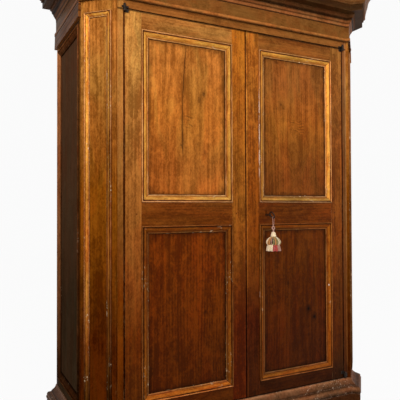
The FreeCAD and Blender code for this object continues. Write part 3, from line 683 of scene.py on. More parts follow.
@dataclass(frozen=True)
class Chip:
    """A place where a moulding is knocked pale: its middle and its reach each way, in metres."""
    x: float
    z: float
    reach_x: float
    reach_z: float

    def paint(self, cut: Cut, colour: Value) -> Value:
        """Put the chip into a colour.

        Args:
            cut: The moulding.
            colour: Its colour so far.

        Returns:
            The new colour.
        """
        offset_x = ((cut.x - self.x) / self.reach_x) ** 2.0
        offset_z = ((cut.z - self.z) / self.reach_z) ** 2.0
        ragged = cut.streaks(140.0, 40.0, 3.0).rise(0.44, 0.52)
        return cut.graph.blend((offset_x + offset_z).rise(1.0, 0.5) * ragged * 0.85, colour, KNOCKED_PALE)


# ---------------------------------------------------------------- finishes

# How much painted shade the edges that the closed doors hide get.
SHUT_SHADE = 0.9

HONEY = Wood("honey", stops((0.30, 80, 34, 3), (0.62, 91, 38, 3), (1.30, 148, 84, 31), (1.90, 180, 121, 55)),
             shut_face_shade=SHUT_SHADE, contrast=1.6)
AMBER_STILE = Wood("amber_stile", stops((0.62, 82, 27, 2), (1.35, 144, 79, 20), (1.90, 167, 92, 23)),
                   shut_face_shade=SHUT_SHADE, contrast=1.9)
CHESTNUT_STILE = Wood(
    "chestnut_stile", stops((0.36, 58, 20, 2), (0.64, 64, 20, 2), (1.35, 135, 67, 12), (1.87, 160, 90, 27)),
    shut_face_shade=SHUT_SHADE, contrast=2.0, edge_lights=(EdgeLight(0.0075, 0.0042, (1.9, 2.4, 3.2), 0.6),))
RUSSET_STILE = Wood(
    "russet_stile", stops((0.30, 40, 15, 2), (0.40, 60, 25, 2), (0.61, 80, 34, 3), (1.37, 126, 64, 17),
                          (1.89, 143, 87, 34)), shut_face_shade=SHUT_SHADE, contrast=1.7)
HONEY_PANEL = Wood("honey_panel", stops((1.38, 160, 88, 30), (1.62, 179, 106, 37), (1.87, 176, 107, 42)),
                   figure=0.8, speckle=0.8, contrast=1.35)
CHESTNUT_PANEL = Wood("chestnut_panel", stops((0.52, 80, 31, 2), (0.71, 90, 35, 2), (0.95, 101, 41, 3)),
                      figure=0.8, contrast=1.9, speckle=0.9, grime=0.9)
RUSSET_PANEL = Wood("russet_panel", stops((1.35, 116, 58, 15), (1.62, 152, 84, 24), (1.83, 137, 77, 28)),
                    figure=0.7, contrast=1.35)
UMBER_PANEL = Wood("umber_panel", stops((0.52, 67, 24, 2), (0.71, 77, 30, 2), (0.96, 89, 38, 3)),
                   figure=0.7, contrast=1.5)
LEFT_RAIL = Wood("left_rail", stops((0.30, 80, 33, 3), (1.16, 107, 51, 9), (2.02, 157, 99, 43)),
                 shut_face_shade=SHUT_SHADE, contrast=1.5)
RIGHT_RAIL = Wood("right_rail", stops((0.30, 54, 20, 2), (1.16, 100, 44, 6), (2.02, 128, 73, 26)),
                  shut_face_shade=SHUT_SHADE, contrast=1.5)
LEFT_POST = Wood("left_post", stops((0.30, 88, 40, 5), (0.80, 100, 46, 5), (1.75, 171, 111, 51)),
                 shut_face_shade=SHUT_SHADE, side_shade=0.7, shine=0.0,
                 edge_lights=(EdgeLight(0.661, 0.007, (0.30, 0.38, 0.50), 0.8),))
RIGHT_POST = Wood(
    "right_post", stops((0.30, 70, 32, 6), (0.60, 92, 46, 12), (1.30, 112, 64, 28), (1.90, 128, 78, 38)),
    shut_face_shade=SHUT_SHADE, side_shade=0.7, edge_lights=(EdgeLight(0.649, 0.006, (2.1, 2.7, 3.6), 0.62),))
HEAD = Wood("head", stops((0.20, 60, 28, 8), (1.00, 110, 66, 30), (2.08, 142, 86, 36)),
            shut_face_shade=SHUT_SHADE, grime=0.7)
CANT = Wood("cant", stops((0.61, 72, 28, 2), (1.27, 126, 67, 9), (1.90, 176, 110, 45)),
            contrast=1.6, shine=0.0)
# The sides' wood is dark, partly its own colour and partly painted shade, as the sides turn from the lamps.
DARK_SHADED_SIDE = Wood("smoked", stops((0.75, 60, 42, 27), (1.27, 78, 52, 34), (1.87, 88, 58, 39)),
              worn=tone(130, 92, 58), wear=0.3, roughness=0.6, shine=0.0, contrast=0.6)
# The rear post grows much paler towards its top: a painted highlight along its edge.
REAR_POST = replace(
    DARK_SHADED_SIDE, name="rear_post", contrast=1.1, shine=0.02, wear=0.9, worn=tone(196, 140, 92),
    tones=stops((0.60, 42, 16, 5), (0.95, 56, 26, 10), (1.30, 70, 36, 16), (1.62, 104, 66, 38),
                (1.85, 112, 66, 36), (2.00, 176, 122, 80)))
# The cornice's tones dip dark just under the corona: a painted shadow.
CORNICE = Wood(
    "cornice", stops((2.12, 126, 77, 32), (2.18, 120, 72, 30), (2.25, 60, 36, 16), (2.272, 52, 30, 13),
                     (2.28, 114, 70, 34), (2.40, 124, 76, 37)),
    worn=tone(190, 140, 92), side_shade=0.5, contrast=0.75, speckle=0.3, shine=0.02)
NECK = replace(CORNICE, name="neck", contrast=0.9, tones=stops((2.05, 132, 78, 34), (2.12, 134, 80, 36)))
BED = replace(CORNICE, name="bed", contrast=0.9, tones=stops((2.17, 114, 67, 34), (2.25, 110, 65, 33)))
BASE_MOULD = Wood("base_mould", stops((0.18, 108, 67, 41), (0.27, 112, 70, 44)), worn=tone(206, 176, 150),
                  wear=1.0, side_shade=0.55, grime=0.8, contrast=1.2, shine=0.02, chips=0.85)
# The plinth is darker below the base moulding: partly darker wood, partly painted shade under the moulding.
BASE = replace(BASE_MOULD, name="base", chips=0.0,
               tones=stops((0.10, 64, 34, 14), (0.19, 58, 30, 12), (0.26, 120, 74, 44)))
INNER = Wood("inner", stops((0.20, 150, 112, 72), (2.30, 168, 130, 86)), wear=0.2, roughness=0.62)
FEET = Wood("feet", stops((0.00, 76, 42, 18), (0.10, 88, 48, 22)), worn=tone(168, 120, 80))
GILDED = Wood("gilded", worn=tone(232, 200, 160))

# Bands across a moulding from its outer edge inwards: the pale ones are painted highlights on the beads,
# partly rubbed wear, and the dark ones painted shade in the quirks and under the beads.
GILT_LIT_BANDS = stops(
    (0.00, 150, 88, 40), (0.05, 206, 144, 86), (0.13, 196, 130, 72), (0.18, 84, 32, 10),
    (0.26, 98, 42, 12), (0.32, 196, 128, 52), (0.50, 214, 150, 62), (0.68, 196, 126, 48),
    (0.76, 140, 76, 26), (0.82, 188, 126, 66), (0.90, 200, 142, 82), (0.95, 84, 36, 12), (1.00, 60, 26, 10))
BROWN_LIT_BANDS = stops(
    (0.00, 90, 44, 12), (0.05, 144, 84, 36), (0.13, 130, 72, 27), (0.18, 48, 17, 3),
    (0.26, 58, 22, 4), (0.32, 118, 60, 12), (0.50, 134, 72, 16), (0.68, 112, 56, 12),
    (0.76, 70, 30, 5), (0.82, 110, 62, 24), (0.90, 124, 76, 34), (0.95, 44, 17, 4), (1.00, 34, 13, 3))
DARK_LIT_BANDS = stops(
    (0.00, 74, 40, 18), (0.08, 146, 88, 46), (0.20, 50, 26, 12), (0.45, 104, 60, 32),
    (0.80, 80, 44, 22), (1.00, 40, 22, 10))


@dataclass(frozen=True)
class Profile:
    """How bright a level moulding is between two heights in metres: painted highlights on its beads,
    partly rubbed wear, and painted shade in its quirks and under its members.

    The lines are places from the lower edge to the upper one, with how bright the wood is there.
    """
    low: float
    high: float
    lines: tuple[tuple[float, float], ...]

    def paint(self, cut: Cut) -> Value:
        """Work out the moulding's middle colour.

        Args:
            cut: The moulding.

        Returns:
            The colour.
        """
        graph, full = cut.graph, max(bright for _, bright in self.lines)
        wander = (cut.streaks(60.0, 14.0, 3.0) - 0.5) * 0.05
        greys = tuple((place, (bright / full,) * 3) for place, bright in self.lines)
        # Painted highlights on the beads, partly rubbed wear, and painted shade in the quirks and under the
        # members.
        wear_and_light = graph.ramp((cut.z - self.low) / (self.high - self.low) + wander, greys)
        return graph.shade(graph.tint(cut.middle_tone(), wear_and_light), full)


PROFILES = {
    "neck_moulding": Profile(2.033, 2.118, (
        (0.00, 0.6), (0.04, 1.2), (0.28, 1.0), (0.322, 0.22), (0.372, 0.85), (0.59, 1.0),
        (0.638, 0.40), (0.686, 0.48), (0.727, 1.45), (0.768, 0.28), (0.822, 0.42), (0.877, 1.35),
        (0.945, 1.70), (1.00, 0.85))),
    "bed_moulding": Profile(2.180, 2.244, (
        (0.00, 0.22), (0.08, 0.40), (0.16, 2.1), (0.27, 1.7), (0.33, 0.45), (0.43, 1.75), (0.50, 1.1),
        (0.57, 0.12), (0.68, 0.22), (0.78, 0.65), (0.92, 0.65), (1.00, 0.30))),
    "base_moulding": Profile(0.192, 0.260, (
        (0.00, 0.30), (0.06, 0.18), (0.16, 0.36), (0.27, 0.9), (0.34, 1.4), (0.46, 1.05), (0.52, 0.55),
        (0.56, 0.34), (0.64, 0.8), (0.78, 1.0), (0.87, 1.35), (0.93, 1.9), (1.00, 0.85))),
}


@dataclass
class Joinery:
    """The boards of the carcass and the doors: finish, grain and nodes, in the order of their seeds."""
    boards: tuple[tuple[Any, ...], ...] = (
        (FEET, Grain.UPRIGHT, "feet"),
        (INNER, Grain.UPRIGHT, "corner_blocks"),
        (INNER, Grain.ACROSS, "base_board"),
        (BASE, Grain.LEVEL, "plinth_boards"),
        (BASE_MOULD, Grain.LEVEL, "base_moulding"),
        (LEFT_POST, Grain.UPRIGHT, "front_post_left"),
        (RIGHT_POST, Grain.UPRIGHT, "front_post_right"),
        (REAR_POST, Grain.UPRIGHT, "rear_post_left", "rear_post_right"),
        (CANT, Grain.UPRIGHT, "cant_board_left", "cant_board_right"),
        (DARK_SHADED_SIDE, Grain.BACKWARD, "side_rails_left", "side_rails_right"),
        (DARK_SHADED_SIDE, Grain.UPRIGHT, "side_panel_left", "side_panel_right"),
        (HEAD, Grain.ACROSS, "front_rails"),
        (INNER, Grain.ACROSS, "floor_board", "top_board"),
        (INNER, Grain.UPRIGHT, "back_boards"),
        (INNER, Grain.ACROSS, "shelves"),
        (INNER, Grain.BACKWARD, "shelf_cleats"),
        (NECK, Grain.LEVEL, "neck_moulding"),
        (CORNICE, Grain.LEVEL, "frieze_boards"),
        (BED, Grain.LEVEL, "bed_moulding"),
        (CORNICE, Grain.LEVEL, "corona_boards", "crown_moulding"),
        (INNER, Grain.ACROSS, "dust_board"),
        (HONEY, Grain.UPRIGHT, "left_hinge_stile"),
        (AMBER_STILE, Grain.UPRIGHT, "left_meeting_stile"),
        (LEFT_RAIL, Grain.ACROSS, "left_rails"),
        (LEFT_RAIL, Grain.BACKWARD, "left_pegs"),
        (RUSSET_STILE, Grain.UPRIGHT, "right_hinge_stile"),
        (CHESTNUT_STILE, Grain.UPRIGHT, "right_meeting_stile"),
        (RIGHT_RAIL, Grain.ACROSS, "right_rails"),
        (RIGHT_RAIL, Grain.BACKWARD, "right_pegs"),
    )
    first_seed: float = 3.1
    seed_step: float = 5.37

    def dress(self) -> None:
        """Give every board its material."""
        boards = [(node, wood, grain) for wood, grain, *nodes in self.boards for node in nodes]
        for number, (node, wood, grain) in enumerate(boards):
            seed = self.first_seed + number * self.seed_step
            cut = Cut(Graph(f"{node}_{wood.name}"), wood, grain, seed)
            colour, height = cut.colour(PROFILES[node].paint(cut) if node in PROFILES else None)
            colour = cut.worn_edges(colour)
            if wood.chips:
                colour = cut.graph.blend(cut.chips(wood.chips), colour, wood.worn)
            cover(node, cut.material(colour, height))
        LOG.info("joinery: %d nodes", len(boards))


@dataclass
class Panel:
    """A door panel, with the marks that it has picked up and painted shade along its edges."""
    node: str
    wood: Wood
    seed: float
    marks: tuple[Knot | Crack | Ripple, ...]
    inset: float = 0.046
    edge_shade_reach: float = 0.022

    def dress(self) -> None:
        """Give the panel its material."""
        cut = Cut(Graph(f"{self.node}_{self.wood.name}"), self.wood, Grain.UPRIGHT, self.seed)
        graph = cut.graph
        colour, height = cut.colour()
        for mark in self.marks:
            colour, opened = mark.paint(cut, colour)
            if opened is not None:
                height = height - opened * 0.8
        low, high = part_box(self.node)
        across = (cut.x - (low.x + self.inset)).at_most((high.x - self.inset) - cut.x)
        up = (cut.z - (low.z + self.inset)).at_most((high.z - self.inset) - cut.z)
        # Painted shade: the panel grows darker towards the mouldings round it and into its corners.
        edge = across.at_most(up) + (cut.streaks(26.0, 26.0, 3.0) - 0.5) * 0.05
        edge_shade = edge.rise(self.edge_shade_reach, 0.0)
        colour = graph.shade(colour, 1.0 - edge_shade * 0.42)
        corner = graph.math("SQRT", across * across + up * up) + (cut.streaks(34.0, 34.0, 3.0) - 0.5) * 0.06
        colour = graph.shade(colour, 1.0 - corner.rise(0.06, 0.0) * 0.3)
        cover(self.node, cut.material(colour, height))


@dataclass
class PanelMoulding:
    """The moulded lengths round a panel, with painted highlights on their beads, partly rubbed wear, and
    painted shade in their quirks.

    The fade is how bright the lowest and the highest point are, the lengths are how bright the
    first and second upright, the top and the bottom are; both are painted light and shade. The dust
    greys the bottom length, and a share of red makes the moulding redder and darker towards its foot.
    """
    node: str
    bands: Stops
    seed: float
    width: float = 0.037
    fade: tuple[float, float] = (1.0, 1.0)
    sideways: tuple[float, float] = (1.0, 0.0)
    wear: float = 0.8
    chips: tuple[Chip, ...] = ()
    lengths: tuple[float, float, float, float] = (1.0, 1.0, 1.0, 1.0)
    shine: float = 0.05
    dust: float = 0.0
    redden: float = 0.0

    def dress(self) -> None:
        """Give the moulding its material."""
        wood = replace(GILDED, wear=self.wear, shine=self.shine)
        cut = Cut(Graph(f"{self.node}_worn"), wood, Grain.UPRIGHT, self.seed)
        graph = cut.graph
        corners = [corner.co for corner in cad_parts[self.node].data.vertices]
        spans = [corner.x * self.sideways[0] + corner.y * self.sideways[1] for corner in corners]
        heights = [corner.z for corner in corners]
        near, far, low, high = min(spans), max(spans), min(heights), max(heights)
        side = cut.x * self.sideways[0] + cut.y * self.sideways[1]
        across = (side - near).at_most(far - side)
        up = (cut.z - low).at_most(high - cut.z)
        upright = across.below(up)
        from_edge = across.at_most(up)
        run = cut.z * upright + side * (1.0 - upright)
        cut.along, cut.wide = run, from_edge
        wander = (cut.streaks(60.0, 16.0, 3.0) - 0.5) * 0.13
        # The bands: painted highlights on the beads, partly rubbed wear, and painted shade in the quirks.
        banded = graph.ramp(from_edge / self.width + wander, self.bands)
        rise = (cut.z - low) / (high - low)
        first = side.below((near + far) / 2)
        below = cut.z.below((low + high) / 2)
        level = 1.0 - upright
        # Painted light: each length lit or shaded by how it faces the lamps, and the fade from foot to top.
        lit = (upright * first * self.lengths[0] + upright * (1.0 - first) * self.lengths[1]
               + level * (1.0 - below) * self.lengths[2] + level * below * self.lengths[3])
        banded = graph.shade(banded, (rise * (self.fade[1] - self.fade[0]) + self.fade[0]) * lit)
        if self.redden:
            banded = graph.blend((1.0 - rise) * self.redden, banded, graph.tint(banded, REDDEN_TINT))
        if self.dust:
            banded = graph.blend(level * below * self.dust, banded, graph.tint(banded, DUST_TINT))
        colour, height = cut.colour(banded)
        scars = cut.streaks(200.0, 50.0, 3.0).rise(0.62, 0.69)
        colour = graph.shade(colour, 1.0 - scars * 0.45)
        ruddy = cut.streaks(90.0, 12.0, 3.0).rise(0.54, 0.66)
        colour = graph.blend(ruddy * 0.7, colour, graph.tint(colour, RUDDY_TINT))
        chips = cut.chips(self.wear)
        colour = graph.blend(chips, colour, wood.worn)
        for chip in self.chips:
            colour = chip.paint(cut, colour)
        mitre = abs(across - up).rise(0.0014, 0.0004)
        colour = graph.shade(colour, 1.0 - mitre * 0.5)
        height = height - chips * 0.5 - scars * 0.3 - mitre * 0.5
        cover(self.node, cut.material(colour, height))


@dataclass(frozen=True)
class Iron:
    """Dark wrought iron, rubbed where hands reach it."""
    nodes: tuple[str, ...] = (
        "hinge_pintles", "left_hinge_eyes", "right_hinge_eyes", "lock_keeper", "bolt_guides",
        "lock_case", "lock_bolt", "key", "upper_bolt", "lower_bolt")
    dark: Colour = tone(22, 17, 14)
    bare: Colour = tone(54, 43, 33)
    rusty: Colour = tone(82, 46, 24)

    def dress(self) -> None:
        """Give the ironwork its material."""
        graph = Graph("dark_iron")
        x, y, z = graph.place()
        spot = graph.vector(x, y, z)
        scale = graph.noise(spot, 260.0, 4.0, 0.65)
        redden = graph.noise(spot, 60.0, 3.0, 0.6).rise(0.52, 0.68)
        colour = graph.blend(scale.rise(0.35, 0.7), self.dark, self.bare)
        colour = graph.blend(redden * 0.4, colour, self.rusty)
        material = graph.finish(colour, 0.46 + scale * 0.35, scale, 0.0005, metallic=0.55 - redden * 0.4,
                                specular_ior_level=0.25)
        for node in self.nodes:
            cover(node, material)
        LOG.info("ironwork: %d nodes", len(self.nodes))


def cover(node: str, material: bpy.types.Material) -> None:
    """Put a material on all of a frame node's slots.

    Args:
        node: The node.
        material: What it gets.
    """
    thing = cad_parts[node]
    if not thing.material_slots:
        thing.data.materials.append(material)
    for slot in thing.material_slots:
        slot.material = material


# ---------------------------------------------------------------- tassel

@dataclass(frozen=True)
class Silk:
    """Twisted silk thread."""
    name: str
    light: Colour
    dark: Colour

    def material(self) -> bpy.types.Material:
        """Make the thread's material.

        Returns:
            The material.
        """
        graph = Graph(self.name)
        x, y, z = graph.place()
        spot = graph.vector(x, y, z * 0.35)
        strand = graph.noise(spot, 2600.0, 2.0, 0.6)
        fade = graph.noise(spot, 160.0, 2.0).rise(0.35, 0.7)
        colour = graph.blend(strand.rise(0.3, 0.7) * 0.6 + fade * 0.4, self.dark, self.light)
        return graph.finish(colour, 0.62, strand, 0.0004, sheen_weight=0.35, sheen_roughness=0.4)


class Skein(Enum):
    """The silks of the tassel, in the order of its pieces' material slots."""
    CREAM = Silk("cream_silk", tone(255, 238, 206), tone(222, 188, 138))
    ROSE = Silk("rose_silk", tone(206, 70, 52), tone(132, 30, 24))
    OLIVE = Silk("olive_silk", tone(166, 146, 72), tone(92, 78, 34))
    AMBER = Silk("amber_silk", tone(232, 166, 86), tone(166, 100, 44))
    FAWN = Silk("fawn_silk", tone(190, 138, 112), tone(128, 78, 58))
    PINK = Silk("cord_silk", tone(206, 158, 136), tone(140, 92, 76))
    UMBER = Silk("umber_silk", tone(96, 70, 38), tone(48, 34, 18))


def put(name: str, data: Any) -> bpy.types.Object:
    """Put some data into the scene.

    Args:
        name: The name of its object.
        data: A mesh, a curve, a lamp or a camera.

    Returns:
        The object.
    """
    thing = bpy.data.objects.new(name, data)
    bpy.context.scene.collection.objects.link(thing)
    return thing


def circle(steps: int, first: float = 0.0) -> list[float]:
    """The angles of so many even steps round a full turn, the first so many steps on."""
    return [FULL_TURN * (step + first) / steps for step in range(steps)]


def lay(curve: bpy.types.Curve, points: list[Vector]) -> bpy.types.Spline:
    """Lay a smooth spline that reaches its two end points.

    Args:
        curve: The curve that it joins.
        points: What steers it.

    Returns:
        The spline.
    """
    curve.dimensions = "3D"
    spline = curve.splines.new("NURBS")
    spline.points.add(len(points) - 1)
    for spot, point in zip(spline.points, points):
        spot.co = (*point, 1.0)
    spline.order_u = 3
    spline.use_endpoint_u = True
    return spline


def skin(name: str, tubes: list[list[list[Vector]]], material: bpy.types.Material,
         capped: bool) -> bpy.types.Object:
    """Make smooth tubes from rings of points.

    Args:
        name: The name of the object and its mesh.
        tubes: The tubes, each a row of rings that have as many points.
        material: What covers them.
        capped: Whether their ends are closed.

    Returns:
        The object.
    """
    points: list[tuple[float, ...]] = []
    faces: list[tuple[int, ...]] = []
    for rings in tubes:
        start, around = len(points), len(rings[0])
        points.extend(tuple(point) for ring in rings for point in ring)
        for row in range(start, len(points) - around, around):
            for step in range(around):
                after = (step + 1) % around
                faces.append((row + step, row + after, row + around + after, row + around + step))
        if capped:
            faces.append(tuple(range(start, start + around)))
            faces.append(tuple(reversed(range(len(points) - around, len(points)))))
    mesh = bpy.data.meshes.new(name)
    mesh.from_pydata(points, [], faces)
    mesh.materials.append(material)
    mesh.shade_smooth()
    return put(name, mesh)


@dataclass
class Thread:
    """A way to lay thin tubes of thread as one curve object."""
    name: str
    radius: float
    runs: list[tuple[list[Vector], Skein]] = field(default_factory=list)

    def add(self, points: list[Vector], silk: Skein) -> None:
        """Lay one thread through some points, in one of the silks."""
        self.runs.append((points, silk))

    def build(self, silks: list[bpy.types.Material]) -> bpy.types.Object:
        """Make the object.

        Args:
            silks: The materials of the skeins, in their order.

        Returns:
            A curve object with a round thread along each spline.
        """
        curve = bpy.data.curves.new(self.name, "CURVE")
        curve.bevel_depth = self.radius
        curve.bevel_resolution = 1
        curve.resolution_u = 4
        curve.use_fill_caps = True
        for material in silks:
            curve.materials.append(material)
        for points, silk in self.runs:
            lay(curve, points).material_index = list(Skein).index(silk)
        return put(self.name, curve)


@dataclass
class Tassel:
    """A silk tassel: ring, bound neck, head, looped tier and skirt, hung on a loop of cord.

    Places on it are a radius from its axis and a drop below its top, in metres. The tier's colours
    are the first letters of its loops' silks, one loop after the other.
    """
    top: Vector
    ring_radius: float = 0.0072
    ring_wire: float = 0.0018
    ring_twist: float = 0.0009
    ring_turns: int = 7
    ring_steps: int = 48
    binding_wire: float = 0.0008
    core_wire: float = 0.0032
    head_bottom: float = 0.0505
    head_radius: float = 0.0138
    head_ribs: int = 33
    rib_height: float = 0.045
    tier_radius: float = 0.0365
    tier_wire: float = 0.0014
    tier_colours: str = "OCOCACOACOCAACCAAFOA"
    under_wire: float = 0.0016
    under_loops: int = 28
    skirt_bottom: float = 0.1215
    skirt_radius: float = 0.0376
    skirt_wire: float = 0.0013
    skirt_threads: int = 76
    winding_steps: int = 12
    seed: int = 11

    def at(self, angle: float, radius: float, drop: float) -> Vector:
        """A point round the tassel's axis; angle 0 faces away from the doors, to the front."""
        return self.top + Vector((math.sin(angle) * radius, -math.cos(angle) * radius, -drop))

    def skirt_silk(self, angle: float) -> Skein:
        """Choose the silk of a thread of the skirt.

        Args:
            angle: Its place round the tassel.

        Returns:
            The silk.
        """
        turn = math.degrees(angle) % 360
        order = ((2, Skein.ROSE), (62, Skein.FAWN), (120, Skein.CREAM), (160, Skein.ROSE),
                 (215, Skein.OLIVE), (236, Skein.FAWN), (321, Skein.CREAM), (360, Skein.ROSE))
        return next(silk for limit, silk in order if turn <= limit)

    def head(self, silk: bpy.types.Material) -> bpy.types.Object:
        """Turn the bell-shaped head with its ribs of thread.

        Args:
            silk: Its material.

        Returns:
            The head.
        """
        profile = ((0.0030, 0.024), (0.0046, 0.0275), (0.0082, 0.0300), (0.0100, 0.0350), (0.0114, 0.0415),
                   (0.0129, 0.0470), (self.head_radius, self.head_bottom), (0.0122, 0.0535), (0.0, 0.055))
        rings = []
        for row, (radius, drop) in enumerate(profile):
            ring = []
            for angle in circle(self.head_ribs * 4):
                rib = 1 + self.rib_height * math.cos(angle * self.head_ribs + row * 0.5)
                ring.append(self.at(angle, radius * rib, drop))
            rings.append(ring)
        return skin("tassel_head", [rings], silk, capped=False)

    def ring(self) -> Thread:
        """Twist the ring that the cord goes through.

        Returns:
            Its two strands.
        """
        strands = Thread("tassel_ring", self.ring_wire)
        for strand in range(2):
            points = []
            for angle in circle(self.ring_steps) + [FULL_TURN]:
                twist = angle * self.ring_turns + strand * math.pi
                radius = self.ring_radius + self.ring_twist * math.cos(twist)
                points.append(self.top + Vector((
                    math.sin(angle) * radius, self.ring_twist * math.sin(twist),
                    math.cos(angle) * radius - self.ring_radius - 0.001)))
            strands.add(points, Skein.PINK)
        return strands

    def winding(self, start: tuple[float, float], end: tuple[float, float], turns: int) -> list[Vector]:
        """Wind a thread round the axis.

        Args:
            start: Radius and drop where it starts.
            end: Radius and drop where it ends.
            turns: How many times it goes round.

        Returns:
            The thread's points.
        """
        steps = turns * self.winding_steps
        points = []
        for step in range(steps + 1):
            share = step / steps
            points.append(self.at(share * turns * FULL_TURN,
                                  start[0] + (end[0] - start[0]) * share,
                                  start[1] + (end[1] - start[1]) * share))
        return points

    def tier(self, dice: random.Random) -> Thread:
        """Lay the tier of loops, three threads to a loop.

        Args:
            dice: What makes them uneven.

        Returns:
            The loops.
        """
        tier = Thread("tassel_tier", self.tier_wire)
        silks = {silk.name[0]: silk for silk in (Skein.CREAM, Skein.OLIVE, Skein.AMBER, Skein.FAWN)}
        for place, letter in zip(circle(len(self.tier_colours)), self.tier_colours):
            angle = place + dice.uniform(-0.05, 0.05)
            fall = dice.uniform(-0.003, 0.002)
            for strand in range(3):
                spread = (strand - 1) * 0.062
                bulge = self.tier_radius - self.under_wire - abs(strand - 1) * self.under_wire
                tier.add([
                    self.at(angle + spread * 0.4, 0.0115, 0.0520),
                    self.at(angle + spread * 0.6, 0.0180, 0.0550 + fall),
                    self.at(angle + spread, bulge * 0.76, 0.0630 + fall),
                    self.at(angle + spread, bulge * 0.98, 0.0730 + fall),
                    self.at(angle + spread, bulge, 0.0835 + fall),
                    self.at(angle + spread * 0.9, bulge * 0.84, 0.0915 + fall),
                    self.at(angle + spread * 0.7, bulge * 0.55, 0.0860),
                ], silks[letter])
        return tier

    def skirt(self, dice: random.Random) -> Thread:
        """Hang the skirt's two layers of threads.

        Args:
            dice: What makes them uneven.

        Returns:
            The threads.
        """
        skirt = Thread("tassel_skirt", self.skirt_wire)
        for reach, first in ((0.0, 0.0), (0.0045, 0.5)):
            for place in circle(self.skirt_threads, first):
                angle = place + dice.uniform(-0.015, 0.015)
                end = self.skirt_radius - self.skirt_wire - reach - dice.uniform(0, 0.0016)
                points = [self.at(angle, 0.0180, 0.0830), self.at(angle, 0.0285 - reach, 0.0900),
                          self.at(angle + dice.uniform(-0.03, 0.03), end * 0.90, 0.1010)]
                drift = dice.uniform(-0.04, 0.04)
                points.append(self.at(angle + drift, end, self.skirt_bottom - dice.uniform(0, 0.003)))
                skirt.add(points, self.skirt_silk(angle))
        return skirt

    def build(self) -> list[bpy.types.Object]:
        """Make all of the tassel's pieces.

        Returns:
            The pieces at rest, with the head last and the skirt before it.
        """
        dice = random.Random(self.seed)
        silks = [skein.value.material() for skein in Skein]
        bindings = Thread("tassel_bindings", self.binding_wire)
        bindings.add(self.winding((0.0034, 0.0180), (0.0040, 0.0270), 7), Skein.PINK)
        bindings.add(self.winding((0.0139, 0.0500), (0.0144, 0.0545), 4), Skein.OLIVE)
        bindings.add(self.winding((0.0150, 0.0545), (0.0172, 0.0575), 3), Skein.AMBER)
        core = Thread("tassel_core", self.core_wire)
        core.add([self.at(0, 0, drop) for drop in (0.016, 0.023, 0.030)], Skein.PINK)
        # Dark umber threads under the tier: a dark fill that stands for the shade between its loops.
        under = Thread("tassel_under_tier", self.under_wire)
        for angle in circle(self.under_loops, 0.5):
            under.add([self.at(angle, 0.010, 0.054), self.at(angle, 0.018, 0.060),
                       self.at(angle, 0.0275, 0.074), self.at(angle, 0.025, 0.092)], Skein.UMBER)
        threads = (self.ring(), bindings, core, self.tier(dice), under, self.skirt(dice))
        return [thread.build(silks) for thread in threads] + [self.head(silks[0])]


@dataclass
class TasselCord:
    """The loop of cord from the tassel's ring, up through the key's bow and down again."""
    bow: Vector
    bend: float = 0.0048
    drop: float = 0.043
    foot: float = 0.0018
    radius: float = 0.0014
    plies: int = 3
    sides: int = 6
    twist_length: float = 0.0075

    def route(self) -> list[Vector]:
        """Lay out the points that steer the loop.

        Returns:
            The points, from one foot to the other.
        """
        low = -self.drop
        half = [(self.foot, low), (self.foot * 1.15, low + 0.012), (self.bend * 0.8, low + 0.026),
                (self.bend, 0.0), (self.bend, self.bend)]
        ways = [(-x, z) for x, z in half] + half[::-1]
        return [self.bow + Vector((x, 0.0, z)) for x, z in ways]

    def centreline(self) -> list[Vector]:
        """Read the smooth line that the cord follows from its spline.

        Returns:
            The line's points.
        """
        curve = bpy.data.curves.new("tassel_cord_line", "CURVE")
        curve.resolution_u = 14
        lay(curve, self.route())
        holder = put("tassel_cord_line", curve)
        mesh = bpy.data.meshes.new_from_object(holder.evaluated_get(bpy.context.evaluated_depsgraph_get()))
        line = [vertex.co.copy() for vertex in mesh.vertices]
        bpy.data.objects.remove(holder)
        bpy.data.curves.remove(curve)
        bpy.data.meshes.remove(mesh)
        return line

    def ply(self, line: list[Vector], start: float) -> list[list[Vector]]:
        """Twist one ply round the cord's line.

        Args:
            line: The line.
            start: The ply's angle round it at its first point.

        Returns:
            The ply's rings.
        """
        radius = self.radius * 0.50
        outward = Vector((0.0, 1.0, 0.0))
        rings = []
        travelled = 0.0
        for index, point in enumerate(line):
            travelled += (point - line[max(index - 1, 0)]).length
            ahead = (line[min(index + 1, len(line) - 1)] - line[max(index - 1, 0)]).normalized()
            level = ahead.cross(outward).normalized()
            turn = travelled / self.twist_length * FULL_TURN + start
            middle = point + (outward * math.sin(turn) + level * math.cos(turn)) * (self.radius - radius)
            rings.append([middle + (outward * math.sin(angle) + level * math.cos(angle)) * radius
                          for angle in circle(self.sides)])
        return rings

    def build(self) -> tuple[bpy.types.Object, list[Vector]]:
        """Twist the cord's plies round its line.

        Returns:
            The cord as a mesh, and the line that it follows.
        """
        line = self.centreline()
        plies = [self.ply(line, start) for start in circle(self.plies)]
        return skin("tassel_cord_loop", plies, Skein.PINK.value.material(), capped=True), line


# ---------------------------------------------------------------- studio

@dataclass(frozen=True)
class Lamp:
    """A square soft lamp: where it hangs, what it points at, its power in watts and its width."""
    name: str
    place: tuple[float, float, float]
    target: tuple[float, float, float]
    power: float
    size: float

    def hang(self) -> None:
        """Hang the lamp."""
        data = bpy.data.lights.new(self.name, "AREA")
        data.energy = self.power
        data.size = self.size
        place = Vector(self.place)
        turn = (place - Vector(self.target)).to_track_quat("Z", "Y").to_matrix().to_4x4()
        put(self.name, data).matrix_world = Matrix.Translation(place) @ turn


